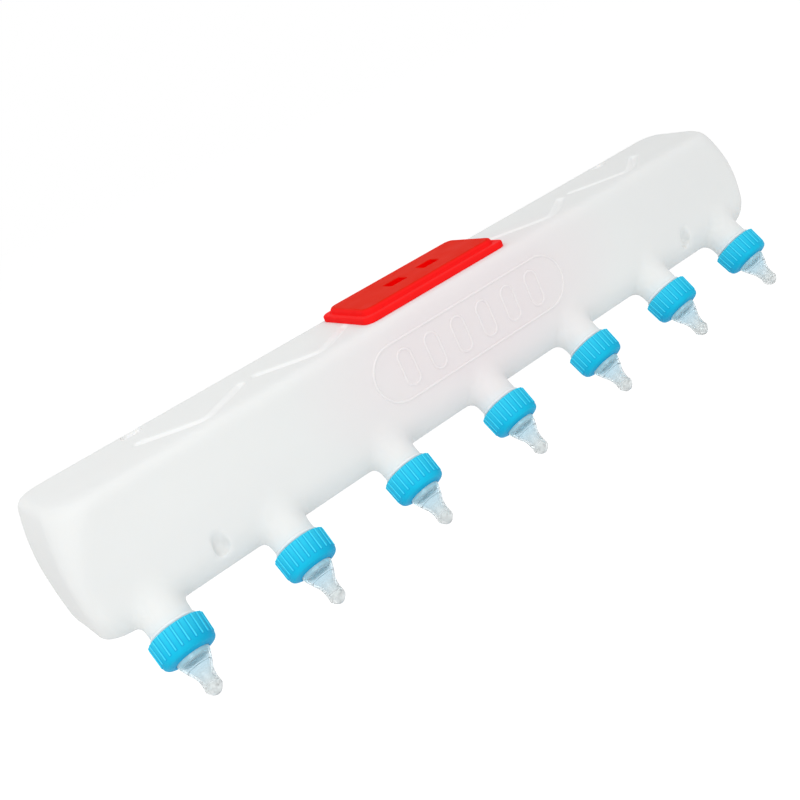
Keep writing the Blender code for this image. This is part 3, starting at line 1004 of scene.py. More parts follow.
@dataclass
class Tank:
    """The blow-moulded tank with its necks, its mouth and its pressed details."""

    form: TankForm = field(default_factory=TankForm)
    necks: NeckRow = field(default_factory=NeckRow)
    voxel: float = 0.0021
    relax_factor: float = 0.5
    relax_rounds: int = 5
    finish_sunk: float = 0.0012
    finish_root: float = 0.0030
    finish_shoulder: tuple[float, float] = (0.0002, 0.0006)
    lip: float = 0.0007
    bead_radius: float = 0.0174
    bead_low: float = -0.0186
    bead_high: float = -0.0156
    bead_power: float = 0.8
    thread_sunk: float = 0.0004
    thread_radius: float = 0.0177
    thread_foot: float = 0.0011
    thread_crest: float = 0.0004
    thread_lead: float = 0.0035
    thread_turns: float = 1.6
    thread_end: float = 0.0022
    thread_steps: int = 36
    thread_skin: float = 0.0005
    thread_kept: float = 0.0003
    thread_fade: float = 8.0
    thread_start: float = 0.15
    groove_section: tuple[Triple, ...] = (
        (-0.0023, 0.0012, 0.0010),
        (-0.0021, 0.0022, 0.0015),
        (-0.0006, 0.0044, 0.0036),
        (0.0000, 0.0056, 0.0045),
        (0.0004, 0.0068, 0.0057),
    )
    groove_bend: float = 0.0065
    groove_places: tuple[float, ...] = (0.120, 0.2184)
    groove_shift: float = 0.0077
    groove_span: float = 0.0415
    groove_stop: float = -0.0764
    groove_run: float = 0.0343
    groove_front: float = 0.0170
    groove_field: Triple = (0.29, 0.007, 0.025)
    # Share of painted highlight in the top's grooves.
    groove_light_share: float = 0.5
    seat_x: float = 0.2505
    seat_shift: float = 0.002
    seat_length: float = 0.0175
    seat_depth: float = 0.0135
    seat_corner: float = 0.00567
    seat_edge: float = 0.001125
    seat_draft: float = 0.0003
    seat_back: float = 0.0045
    seat_sink: float = 0.0042
    scoop_x: float = 0.248
    scoop_shift: float = 0.002
    scoop_radius: float = 0.0055
    scoop_height: float = 0.0300
    scoop_drop: float = 0.006
    scoop_lean: float = math.radians(30.0)
    collar_half_x: float = 0.0642
    collar_half_y: float = 0.02935
    collar_wall: float = 0.0026
    collar_top: float = 0.0590
    collar_corner: float = 0.0054
    collar_edge: float = 0.0006
    collar_y: float = -0.04265
    panel_place: tuple[float, float] = (0.007, 0.012)
    panel_half: float = 0.098
    panel_rise: float = 0.0225
    panel_bead: float = 0.0013
    panel_proud: float = 0.0009
    bar_count: int = 6
    bar_field: float = 0.080
    bar_half: float = 0.0085
    bar_radius: float = 0.0062

    def build(self) -> Object:
        """Build the tank's shell.

        Returns:
            The shell, open at its mouth and necks.
        """
        shell = self.form.solid("tank_shell", inset=0.0, steps=10)
        join(shell, self.scoops(0.0), Join.CUT)
        self.blow(shell)
        join(shell, self.grooves(0.0), Join.CUT)
        join(shell, self.seats(0.0), Join.CUT)
        join(shell, self.finishes(), Join.ADD)
        join(shell, self.collar(0.0, self.form.top - self.form.wall / 2, self.collar_top), Join.ADD)
        join(shell, self.panel(), Join.ADD)
        cavity = self.form.solid("cavity", self.form.wall, steps=5)
        join(cavity, self.grooves(self.form.wall), Join.CUT)
        join(cavity, self.seats(self.form.wall), Join.CUT)
        join(cavity, self.scoops(self.form.wall), Join.CUT)
        join(shell, cavity, Join.CUT)
        join(shell, self.bores(), Join.CUT)
        low = self.form.top - 3 * self.form.wall
        mouth = self.collar(self.collar_wall, low, self.collar_top + self.collar_wall)
        join(shell, mouth, Join.CUT)
        return shell

    def dress(self, shell: Object, finish: MilkyPolyethylene) -> None:
        """Give the shell its finish, its shading and its place on the part.

        Args:
            shell: The shell.
            finish: The finish.
        """
        soften(shell)
        # Paint the painted light of the top's grooves and hook seats.
        paint(shell, "painted_top_light", self.top_light_share)
        shell.data.materials.clear()
        shell.data.materials.append(finish.material())
        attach(shell, "tank")
        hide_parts("tank")

    def top_light_share(self, point: Vector) -> float:
        """How much painted light a point has: a painted highlight in the top's grooves, and painted light
        that lifts the shade in the hook seats.

        Args:
            point: The point.

        Returns:
            The share, 0 to 1.
        """
        skin = 0.0003
        slack = 0.0002
        sunk = self.form.top - point.z
        if not skin < sunk < self.seat_sink + slack:
            return 0.0
        aside = abs(abs(point.x - self.seat_shift) - self.seat_x) - self.seat_length / 2
        behind = abs(point.y + self.seat_back + self.seat_depth / 2) - self.seat_depth / 2
        if max(aside, behind) < 2 * slack:
            return 1.0
        half, before, back = self.groove_field
        front = self.form.front_y(self.form.top) + self.groove_front - before
        deepest = slack / 2 - self.groove_section[0][0]
        grooved = front < point.y < -back and abs(point.x) < half and sunk < deepest
        return self.groove_light_share if grooved else 0.0

    def blow(self, shell: Object) -> None:
        """Blend the neck blanks into the body, with the soft edges of a blown moulding.

        Args:
            shell: The body, which takes in the necks.
        """
        blank = bmesh.new()
        loft(blank, self.necks.blank(steps=48))
        neck = new_object(blank, "neck")
        bm = bmesh.new()
        bm.from_mesh(shell.data)
        add_copies(bm, neck.data, self.necks.frames())
        bpy.data.objects.remove(neck, do_unlink=True)
        bm.to_mesh(shell.data)
        bm.free()
        blend = shell.modifiers.new("blend", "REMESH")
        blend.mode = "VOXEL"
        blend.voxel_size = self.voxel * 1.0
        relax = shell.modifiers.new("relax", "SMOOTH")
        relax.factor = self.relax_factor
        relax.iterations = self.relax_rounds
        settle(shell)

    def grooves(self, grow: float) -> Object:
        """The V-shaped stiffening grooves of the top.

        Args:
            grow: How far the cutter is grown, for the wall behind it.

        Returns:
            The cutter.
        """
        made = []
        y = self.form.front_y(self.form.top) + self.groove_front
        for side in (-1, 1):
            for place in self.groove_places:
                bm = bmesh.new()
                x = self.groove_shift + side * place
                shift = Vector((x, y, self.form.top))
                last = min(self.groove_span, self.groove_stop - x) if side < 0 else self.groove_span
                outlines = []
                for z, fore, rear in self.groove_section:
                    outline = self.groove_outline(fore + grow / 2, rear + grow / 2, last)
                    outlines.append([shift + Vector((u, v, z - grow)) for u, v in outline])
                loft(bm, outlines)
                made.append(new_object(bm, "groove"))
        return united(made)

    def groove_outline(
        self, fore: float, rear: float, last: float, steps: int = 28, end_steps: int = 6
    ) -> Profile:
        """Round-ended outline of a groove, with its point at the origin.

        Args:
            fore: How far it reaches forwards of its middle line.
            rear: How far it reaches behind it.
            last: Where its right arm ends, along the tank.
            steps: Steps of each arm.
            end_steps: Steps of each round end.

        Returns:
            The closed outline, in plan.
        """
        steep = self.groove_run / self.groove_span
        near = []
        far = []
        for step in range(-steps, steps + 1):
            u = (last if step > 0 else self.groove_span) * step / steps
            bent = math.hypot(u, self.groove_bend)
            v = steep * (bent - self.groove_bend)
            lean = math.atan(steep * u / bent)
            near.append((u + fore * math.sin(lean), v - fore * math.cos(lean)))
            far.append((u - rear * math.sin(lean), v + rear * math.cos(lean)))
        half = (fore + rear) / 2
        outline = []
        for line, back in ((near, far[-1]), (far[::-1], near[0])):
            outline += line
            middle = ((line[-1][0] + back[0]) / 2, (line[-1][1] + back[1]) / 2)
            start = math.atan2(line[-1][1] - middle[1], line[-1][0] - middle[0])
            for step in range(1, end_steps):
                angle = start + math.pi * step / end_steps
                outline.append((middle[0] + half * math.cos(angle), middle[1] + half * math.sin(angle)))
        return outline

    def seats(self, grow: float) -> Object:
        """The hook seats along the top's back edge.

        Args:
            grow: How far the cutter is grown, for the wall behind it.

        Returns:
            The cutter.
        """
        made = []
        y = -(self.seat_back + self.seat_depth / 2)
        for side in (-1, 1):
            seat = Slab(
                self.seat_length / 2 + grow,
                self.seat_depth / 2 + grow,
                self.form.top - self.seat_sink - grow,
                self.form.top + self.seat_sink,
                self.seat_corner,
                foot_edge=self.seat_edge,
                draft=-self.seat_draft,
                centre=(self.seat_shift + side * self.seat_x, y),
            )
            made.append(seat.solid("seat"))
        return united(made)

    def scoops(self, grow: float) -> Object:
        """The round-ended scoops low in the front face.

        Args:
            grow: How far the cutter is grown, for the wall behind it.

        Returns:
            The cutter.
        """
        bm = bmesh.new()
        z = self.form.foot + self.scoop_height
        deep = Vector((0.0, self.scoop_drop * math.tan(self.scoop_lean), -self.scoop_drop))
        axis = deep.normalized()
        length = 5 * self.scoop_radius
        for side in (-1, 1):
            x = self.scoop_shift + side * self.scoop_x
            end = Vector((x, self.form.front_y(z), z)) + deep
            middle = end - axis * (length / 2)
            place = Matrix.Translation(middle) @ axis.to_track_quat("Z", "Y").to_matrix().to_4x4()
            capsule(bm, self.scoop_radius + grow, length, steps=24, place=place)
        return new_object(bm, "scoops")

    def finishes(self) -> Object:
        """The turned screw finish of every neck: stop bead, thread and lip.

        Returns:
            The finishes, each on its neck.
        """
        root = self.necks.radius
        foot = self.bead_low - self.finish_root
        middle = (self.bead_low + self.bead_high) / 2
        half = (self.bead_high - self.bead_low) / 2
        rise = self.bead_radius - root
        inset, drop = self.finish_shoulder
        profile = [(0.0, foot), (root - self.finish_sunk, foot), (root - inset, self.bead_low - drop)]
        steps = 8
        for step in range(steps + 1):
            share = 2 * step / steps - 1.0
            height = rise * math.cos(share * math.pi / 2) ** self.bead_power
            profile.append((root + max(height, 0.0), middle + half * share))
        profile += arc((root - self.lip, -self.lip), self.lip, 0.0, 90.0, steps=4)
        profile.append((0.0, 0.0))
        bm = bmesh.new()
        turn(bm, profile, steps=96, ring=False)
        one = new_object(bm, "neck finish")
        join(one, self.thread(), Join.ADD)
        row = bmesh.new()
        add_copies(row, one.data, self.necks.frames())
        bpy.data.objects.remove(one, do_unlink=True)
        return new_object(row, "neck finishes")

    def thread(self) -> Object:
        """The thread's ridge, fading out at both ends.

        Returns:
            The ridge.
        """
        root = self.necks.radius - self.thread_sunk
        steps = int(self.thread_steps * self.thread_turns)
        rise = self.thread_lead * self.thread_turns
        low = -self.thread_end - rise
        foot, crest = self.thread_foot, self.thread_crest
        section = ((root, -foot), (self.thread_radius, -crest), (self.thread_radius, crest), (root, foot))
        bm = bmesh.new()
        face = bm.faces.new([bm.verts.new((radius, 0.0, low + height)) for radius, height in section])
        angle = math.tau * self.thread_turns
        spin(bm, [face, *face.edges, *face.verts], angle, steps, rise=rise / steps)
        kept = root + self.thread_kept
        for vert in bm.verts:
            radius = math.hypot(vert.co.x, vert.co.y)
            if radius > root + self.thread_skin:
                along = (vert.co.z - low) / rise
                fade = clamped(self.thread_fade * min(along, 1.0 - along) + self.thread_start)
                scale = (kept + (radius - kept) * fade) / radius
                vert.co.x *= scale
                vert.co.y *= scale
        return new_object(bm, "thread")

    def collar(self, inset: float, low: float, high: float) -> Object:
        """The upstanding collar round the mouth, or the mouth's opening when it is inset.

        Args:
            inset: How far it is drawn in.
            low: Height of its foot.
            high: Height of its top.

        Returns:
            The solid.
        """
        return Slab(
            self.collar_half_x - inset,
            self.collar_half_y - inset,
            low,
            high,
            self.collar_corner - inset,
            top_edge=0.0 if inset else self.collar_edge,
            centre=(0.0, self.collar_y),
            steps=4,
        ).solid("collar")

    def panel(self) -> Object:
        """The plain raised panel on the front: a round-ended frame with upright bars in it.

        Returns:
            The beads of the panel.
        """
        bm = bmesh.new()
        x, z = self.panel_place
        along = Vector((1.0, 0.0, 0.0))
        up = Vector((0.0, self.form.rake / self.form.height, 1.0)).normalized()
        out = along.cross(up)
        turned = Matrix((along, up, out)).transposed().to_4x4()
        seat = Vector((x, self.form.front_y(z), z)) + out * (self.panel_proud - self.panel_bead)
        place = Matrix.Translation(seat) @ turned
        self.racetrack(bm, self.panel_half - self.panel_rise, self.panel_rise, place)
        pitch = 2 * self.bar_field / self.bar_count
        for bar in range(self.bar_count):
            shift = Matrix.Translation(((bar - (self.bar_count - 1) / 2) * pitch, 0.0, 0.0))
            upright = place @ shift @ Matrix.Rotation(math.pi / 2, 4, "Z")
            self.racetrack(bm, self.bar_half, self.bar_radius, upright)
        return new_object(bm, "panel")

    def racetrack(self, bm: BMesh, half: float, radius: float, place: Matrix) -> None:
        """Sweep a bead round a track of two straights and two half turns.

        Args:
            bm: The mesh that gets the bead.
            half: Half the length of the straights.
            radius: Radius of the turns.
            place: Where the track lies.
        """
        before = set(bm.verts)
        section = bmesh.ops.create_circle(
            bm,
            cap_ends=False,
            radius=self.panel_bead,
            segments=10,
            matrix=Matrix.Translation((-half, -radius, 0.0)) @ Matrix.Rotation(math.pi / 2, 4, "Y"),
        )
        edges = list({edge for vert in section["verts"] for edge in vert.link_edges})
        for side in (1, -1):
            made = bmesh.ops.extrude_edge_only(bm, edges=edges)["geom"]
            verts = [item for item in made if isinstance(item, BMVert)]
            bmesh.ops.translate(bm, vec=(side * 2 * half, 0.0, 0.0), verts=verts)
            moved = set(verts)
            edges = [e for e in bm.edges if e.verts[0] in moved and e.verts[1] in moved]
            swept = spin(bm, [*verts, *edges], math.pi, steps=24, centre=side * half)
            edges = [item for item in swept if isinstance(item, BMEdge)]
        bmesh.ops.transform(bm, matrix=place, verts=welded(bm, before))

    def bores(self) -> Object:
        """The bore of every neck, long enough to open into the tank.

        Returns:
            The cutter.
        """
        bm = bmesh.new()
        deep = -self.necks.skin_height(0.0) + 2 * self.form.wall + self.necks.radius
        radius = self.necks.radius - self.necks.wall
        shift = Matrix.Translation((0.0, 0.0, (self.necks.wall - deep) / 2))
        for place in self.necks.frames():
            bmesh.ops.create_cone(
                bm,
                cap_ends=True,
                segments=64,
                radius1=radius,
                radius2=radius,
                depth=deep + self.necks.wall,
                matrix=place @ shift,
            )
        return new_object(bm, "bores")


@dataclass
class ScrewCap:
    """A ribbed screw cap, built on its neck's axis with the neck's mouth at zero."""

    rear_radius: float = 0.02025
    front_radius: float = 0.01975
    inner_radius: float = 0.0183
    rear: float = -0.0152
    inside: float = 0.0028
    face: float = 0.0048
    crown: float = 0.0010
    shoulder: float = 0.0040
    shoulder_start: float = 76.0
    lip: float = 0.0005
    hole: float = 0.0123
    rib_count: int = 24
    rib_radius: float = 0.00072
    rib_proud: float = 0.00062
    rib_front: float = 0.0006
    rib_rear: float = 0.0001
    rib_foot_shade: float = 0.0007
    rim: float = 0.0009
    # The cap's side that faces the light; painted shade grows on the flanks either side of it.
    crest: float = math.radians(108.0)
    flank: float = math.radians(85.0)
    flank_shade_share: float = 0.6
    hole_shade_share: float = 0.8
    hole_shade_start: float = 0.35

    def build(self) -> Object:
        """Build one cap.

        Returns:
            The cap, on its own axis.
        """
        bm = bmesh.new()
        turn(bm, self.profile(), steps=96)
        cap = new_object(bm, "cap")
        join(cap, self.ribs(), Join.ADD)
        # Painted shade at the ribs' feet, by the hole and on the flanks, and a painted highlight on the
        # ribs and rear rim.
        paint(cap, "deep", self.painted_shade_share)
        paint(cap, "painted_light", self.painted_light_share)
        return cap

    def painted_light_share(self, point: Vector) -> float:
        """Share of painted highlight at a point of the cap: on the ribs' crests and at the rear rim."""
        proud = math.hypot(point.x, point.y) - self.side(point.z)
        return clamped(max(proud / self.rib_proud, 1.0 - (point.z - self.rear) / self.rim))

    def painted_shade_share(self, point: Vector) -> float:
        """How much painted shade a point has: at the ribs' feet, towards the hole and on the flanks.

        Args:
            point: The point, on the cap's own axis.

        Returns:
            The share, 0 to 1.
        """
        radius = math.hypot(point.x, point.y)
        angle = math.atan2(point.y, point.x)
        # Painted shade on the flanks, as if they were turned from the light.
        aside = math.remainder(angle - self.crest, math.tau) / self.flank
        flank = self.flank_shade_share * min(1.0, aside**2)
        if point.z > self.rib_front:
            near = min(1.0, (self.front_radius - radius) / self.shoulder - self.hole_shade_start)
            return max(flank, self.hole_shade_share * near)
        pitch = math.tau / self.rib_count
        off = abs((angle + pitch / 2) % pitch - pitch / 2) * radius
        foot = max(0.0, 1.0 - max(0.0, off - self.rib_radius) / self.rib_foot_shade)
        proud = (radius - self.side(point.z)) / self.rib_proud
        return max(flank, foot) * max(0.0, 1.0 - 2 * max(0.0, proud))

    def side(self, z: float) -> float:
        """Radius of the cap's drafted side at a height."""
        share = (z - self.rear) / (self.face - self.shoulder - self.rear)
        return self.rear_radius + (self.front_radius - self.rear_radius) * share

    def profile(self) -> Profile:
        """The cap's section.

        Returns:
            The closed section, its hole and front face first.
        """
        lip = self.lip
        front = self.face + self.crown
        centre = (self.front_radius - self.shoulder, self.face - self.shoulder)
        points = [(self.hole, self.inside), (self.hole, front - lip)]
        points += arc((self.hole + lip, front - lip), lip, 180.0, 100.0, steps=3)[1:]
        points += arc(centre, self.shoulder, self.shoulder_start, 0.0, steps=8)
        points += arc((self.rear_radius - lip, self.rear + lip), lip, 0.0, -90.0, steps=3)
        points += [(self.inner_radius + lip / 2, self.rear), (self.inner_radius, self.rear + lip)]
        points += [(self.inner_radius, self.inside - lip), (self.inner_radius - lip, self.inside)]
        return points

    def ribs(self) -> Object:
        """The grip ribs round the cap's side, each a slim round-ended bar.

        Returns:
            The ribs.
        """
        bm = bmesh.new()
        low = self.rear + self.rib_radius + self.rib_rear
        high = self.rib_front - self.rib_radius
        sunk = self.rib_proud - self.rib_radius
        foot = Vector((self.side(low) + sunk, 0.0, low))
        head = Vector((self.side(high) + sunk, 0.0, high))
        along = (head - foot).normalized()
        lean = along.to_track_quat("Z", "Y").to_matrix().to_4x4()
        for index in range(self.rib_count):
            spun = Matrix.Rotation(math.tau * index / self.rib_count, 4, "Z")
            place = spun @ Matrix.Translation((foot + head) / 2) @ lean
            capsule(bm, self.rib_radius, (head - foot).length, steps=12, place=place)
        return new_object(bm, "ribs")


@dataclass
class Teat:
    """A hollow clear teat, built on its neck's axis with the neck's mouth at zero."""

    flange_radius: float = 0.0176
    flange_low: float = 0.0003
    flange_high: float = 0.0025
    foot_radius: float = 0.0124
    bell_radius: float = 0.0121
    foot_rise: float = 0.0004
    bore_radius: float = 0.0104
    bore_start: tuple[float, float] = (0.0103, 0.0012)
    reach: float = 0.0356
    tip_wall: float = 0.0026
    tip_round: float = 0.00015
    wall: float = 0.0017
    hole: float = 0.0008
    outer: tuple[tuple[float, float], ...] = (
        (0.01205, 0.0042),
        (0.01210, 0.0062),
        (0.01175, 0.0080),
        (0.01110, 0.0098),
        (0.01040, 0.0115),
        (0.00965, 0.0133),
        (0.00840, 0.0159),
        (0.00700, 0.0186),
        (0.00625, 0.0214),
        (0.00590, 0.0246),
        (0.00605, 0.0276),
        (0.00625, 0.0298),
        (0.00580, 0.0316),
        (0.00440, 0.0334),
        (0.00300, 0.0348),
    )
    ring_heights: tuple[float, ...] = (0.0150, 0.0176, 0.0202, 0.0228)
    ring_rise: float = 0.00016
    ring_width: float = 0.0008
    pin_step: float = 0.0034
    pin_rise: float = 0.00030
    pin_from: float = 0.0130
    pin_to: float = 0.0250
    haze_from: float = 0.014
    haze_reach: float = 0.014
    root_to: float = 0.0105
    root_reach: float = 0.0030
    clearness: Triple = (0.93, 0.15, 0.55)

    def build(self) -> Object:
        """Build one teat.

        Returns:
            The teat, on its own axis.
        """
        bm = bmesh.new()
        turn(bm, self.profile(), steps=72)
        teat = new_object(bm, "teat")
        paint(teat, "along", self.along)
        paint(teat, "root", self.root)
        paint(teat, "clear", self.clear)
        return teat

    def along(self, point: Vector) -> float:
        """Share of the tip's haze at a point on the teat's own axis."""
        return clamped((point.z - self.haze_from) / self.haze_reach)

    def root(self, point: Vector) -> float:
        """Share of the thick bell's haze and of its painted cap blue at a point on the teat's own axis.
        """
        return clamped((self.root_to - point.z) / self.root_reach)

    def clear(self, point: Vector) -> float:
        """How much light passes at a point on the teat's own axis."""
        most, haze_loss, root_loss = self.clearness
        return most - haze_loss * self.along(point) - root_loss * self.root(point)

    def profile(self) -> Profile:
        """The teat's section: flange, bell, taper and tip outside, a stepped wall inside.

        Returns:
            The closed section, its flange first.
        """
        skin = through(list(self.outer), steps=5)
        points = [(self.flange_radius, self.flange_low), (self.flange_radius, self.flange_high)]
        points.append((self.foot_radius, self.flange_high))
        points.append((self.bell_radius, self.flange_high + self.foot_rise))
        for radius, height in skin:
            ripple = sum(max(0.0, 1.0 - abs(height - at) / self.ring_width) for at in self.ring_heights)
            points.append((radius + self.ring_rise * ripple, height))
        points += [(2 * self.hole, self.reach - self.tip_round), (self.hole, self.reach)]
        points += [(self.hole, self.reach - self.tip_wall)]
        points += list(reversed(self.inner(skin)))
        points += [(self.bore_radius, self.flange_low)]
        return points

    def inner(self, skin: Profile) -> Profile:
        """The inside of the teat, with the small steps of its core pin.

        Args:
            skin: The outer curve.

        Returns:
            The inner curve, from the bell to the tip.
        """
        curve = [self.bore_start]
        for radius, height in skin:
            if height > self.reach - 2 * self.tip_wall:
                break
            stepped = self.pin_from < height < self.pin_to
            extra = self.pin_rise * (height % self.pin_step) / self.pin_step if stepped else 0.0
            curve.append((radius - self.wall - extra, height))
        return curve


@dataclass
class Drinkers:
    """The seven caps and teats, each on its neck."""

    necks: NeckRow = field(default_factory=NeckRow)
    cap: ScrewCap = field(default_factory=ScrewCap)
    teat: Teat = field(default_factory=Teat)
    turned: tuple[float, ...] = (9.0, 10.6, 0.9, 2.4, 14.9, 1.8, 9.85)
    crisp: float = 38.0

    def build(self) -> list[tuple[Object, Object]]:
        """Build all the caps and teats.

        Returns:
            A cap and a teat for each neck.
        """
        sources = (self.cap.build(), self.teat.build())
        pairs = []
        for number, (frame_of_neck, degrees) in enumerate(zip(self.necks.frames(), self.turned), 1):
            place = frame_of_neck @ Matrix.Rotation(math.radians(degrees), 4, "Z")
            cap, teat = (self.placed(source, number, place) for source in sources)
            pairs.append((cap, teat))
        for source in sources:
            bpy.data.objects.remove(source, do_unlink=True)
        return pairs

    @staticmethod
    def placed(source: Object, number: int, place: Matrix) -> Object:
        """Copy a piece onto a neck, with its place in its mesh.

        Args:
            source: The piece on its own axis.
            number: Number of the neck, from 1.
            place: Matrix of the place.

        Returns:
            The placed piece.
        """
        mesh = source.data.copy()
        mesh.transform(place)
        obj = bpy.data.objects.new(f"{source.name}_{number}", mesh)
        bpy.context.scene.collection.objects.link(obj)
        return obj

    def dress(
        self, pairs: Sequence[tuple[Object, Object]], blue: MouldedPlastic, clear: ClearSilicone
    ) -> None:
        """Give the caps and teats their finishes and their places on the part.

        Args:
            pairs: A cap and a teat for each neck.
            blue: Finish of the caps.
            clear: Finish of the teats.
        """
        finishes = (blue.material(), clear.material())
        slots = ("cap_plastic", "teat_silicone")
        bodies = ("screw_cap", "nipple")
        for number, pair in enumerate(pairs, 1):
            for obj, finish, slot, body in zip(pair, finishes, slots, bodies):
                soften(obj, self.crisp)
                obj.data.materials.clear()
                obj.data.materials.append(finish)
                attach(obj, f"{body}_{number}")
                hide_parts(f"{body}_{number}")


@dataclass
class Lid:
    """The press-on lid: a flange tier, a raised plate and two finger pockets."""

    tank: TankForm = field(default_factory=TankForm)
    half_x: float = 0.0717
    half_y: float = 0.03815
    seat: float = 0.0521
    skirt: float = 0.0012
    tier: float = 0.0570
    top: float = 0.0615
    corner: float = 0.008
    edge: float = 0.0018
    foot_edge: float = 0.0003
    plate_edge: float = 0.0028
    plate_draft: float = 0.0004
    plate_end_inset: float = 0.0049
    plate_side_inset: float = 0.0062
    seam_width: float = 0.0007
    seam_depth: float = 0.0003
    wall: float = 0.0022
    centre_y: float = -0.04265
    pocket_x: float = 0.0169
    pocket_y: float = -0.04465
    pocket_length: float = 0.0159
    pocket_depth: float = 0.0141
    pocket_sink: float = 0.0064
    pocket_corner: float = 0.0015
    pocket_rim: float = 0.0005
    rim_depth: float = 0.0004
    rim_clear: float = 0.002
    slack: float = 0.0002
    crisp: float = 35.0
    # Painted shade on the flat top, painted light on the sides and a painted highlight at the step round
    # the plate.
    top_shade_depth: float = 0.0012
    step_highlight_reach: float = 0.0010
    side_light_share: float = 0.5

    def build(self) -> Object:
        """Build the lid.

        Returns:
            The lid, hollow underneath.
        """
        foot = self.seat - self.skirt
        centre = (0.0, self.centre_y)
        lid = Slab(
            self.half_x,
            self.half_y,
            foot,
            self.tier,
            self.corner,
            top_edge=self.edge,
            foot_edge=self.foot_edge,
            centre=centre,
        ).solid("lid_cover")
        seam = self.plate(self.seam_width, self.tier - self.seam_depth, self.top, 0.0)
        join(lid, seam, Join.CUT)
        join(lid, self.plate(0.0, self.seat + self.wall / 2, self.top, self.plate_edge), Join.ADD)
        join(lid, self.plate(-self.wall, foot - self.wall, self.top - self.wall, 0.0), Join.CUT)
        rebate = Slab(
            self.half_x - self.wall,
            self.half_y - self.wall,
            foot - self.wall,
            self.tier - self.wall,
            self.corner - self.wall,
            centre=centre,
        ).solid("rebate")
        join(lid, rebate, Join.CUT)
        floor = self.top - self.pocket_sink
        for side in (-1, 1):
            walls = self.pocket(side, self.wall, floor - self.wall, self.top - self.wall / 2)
            join(lid, walls, Join.ADD)
            join(lid, self.pocket(side, 0.0, floor, self.top + self.pocket_sink), Join.CUT)
            rim = self.pocket(side, self.pocket_rim, self.top - self.rim_depth, self.top + self.rim_clear)
            join(lid, rim, Join.CUT)
        join(lid, self.tank.solid("bed", self.tank.top - self.seat, steps=8), Join.CUT)
        return lid

    def plate(self, grow: float, low: float, high: float, edge: float) -> Object:
        """A slab with the raised plate's outline, grown or drawn in.

        Args:
            grow: How far it is grown.
            low: Height of its foot.
            high: Height of its top.
            edge: Radius of its top edge.

        Returns:
            The slab.
        """
        return Slab(
            self.half_x - self.plate_end_inset + grow,
            self.half_y - self.plate_side_inset + grow,
            low,
            high,
            self.corner + min(grow, 0.0),
            top_edge=edge,
            draft=self.plate_draft if edge else 0.0,
            centre=(0.0, self.centre_y),
        ).solid("plate")

    def pocket(self, side: int, grow: float, low: float, high: float) -> Object:
        """One finger pocket, or the walls round it when it is grown.

        Args:
            side: Which end of the lid, -1 or 1.
            grow: How far it is grown.
            low: Height of its floor.
            high: Height of its top.

        Returns:
            The slab.
        """
        return Slab(
            self.pocket_length / 2 + grow,
            self.pocket_depth / 2 + grow,
            low,
            high,
            self.pocket_corner + grow,
            centre=(side * self.pocket_x, self.pocket_y),
        ).solid("pocket")

    def dress(self, lid: Object, finish: MouldedPlastic) -> None:
        """Give the lid its finish and its place on the part.

        Args:
            lid: The lid.
            finish: The finish.
        """
        soften(lid, self.crisp)
        lid.modifiers.new("even shading", "WEIGHTED_NORMAL").keep_sharp = True
        settle(lid)
        lid.data.materials.clear()
        lid.data.materials.append(finish.material())
        # Paint the lid's painted shade and painted light.
        paint(lid, "deep", self.painted_shade_share)
        paint(lid, "painted_light", self.painted_light_share)
        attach(lid, "lid")
        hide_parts("lid")

    def in_pocket(self, point: Vector) -> bool:
        """Whether a point lies inside one of the finger pockets.

        Args:
            point: The point.

        Returns:
            Whether it does.
        """
        across = abs(abs(point.x) - self.pocket_x) - self.pocket_length / 2
        along = abs(point.y - self.pocket_y) - self.pocket_depth / 2
        return point.z <= self.top - self.slack and max(across, along) <= self.slack

    def painted_shade_share(self, point: Vector) -> float:
        """How much painted shade a point has: the flat top is painted darker than the sides.

        Args:
            point: The point.

        Returns:
            The share, 0 to 1.
        """
        if self.in_pocket(point):
            return 0.0
        return max(0.0, 1.0 - (self.top - point.z) / self.top_shade_depth)

    def painted_light_share(self, point: Vector) -> float:
        """How much painted light a point has: on the sides, most as a painted highlight at the step round
        the plate.

        Args:
            point: The point.

        Returns:
            The share, 0 to 1.
        """
        if self.in_pocket(point):
            return 0.0
        step = 1.0 - abs(point.z - self.tier) / self.step_highlight_reach
        return max(self.side_light_share * (1.0 - self.painted_shade_share(point)), step)


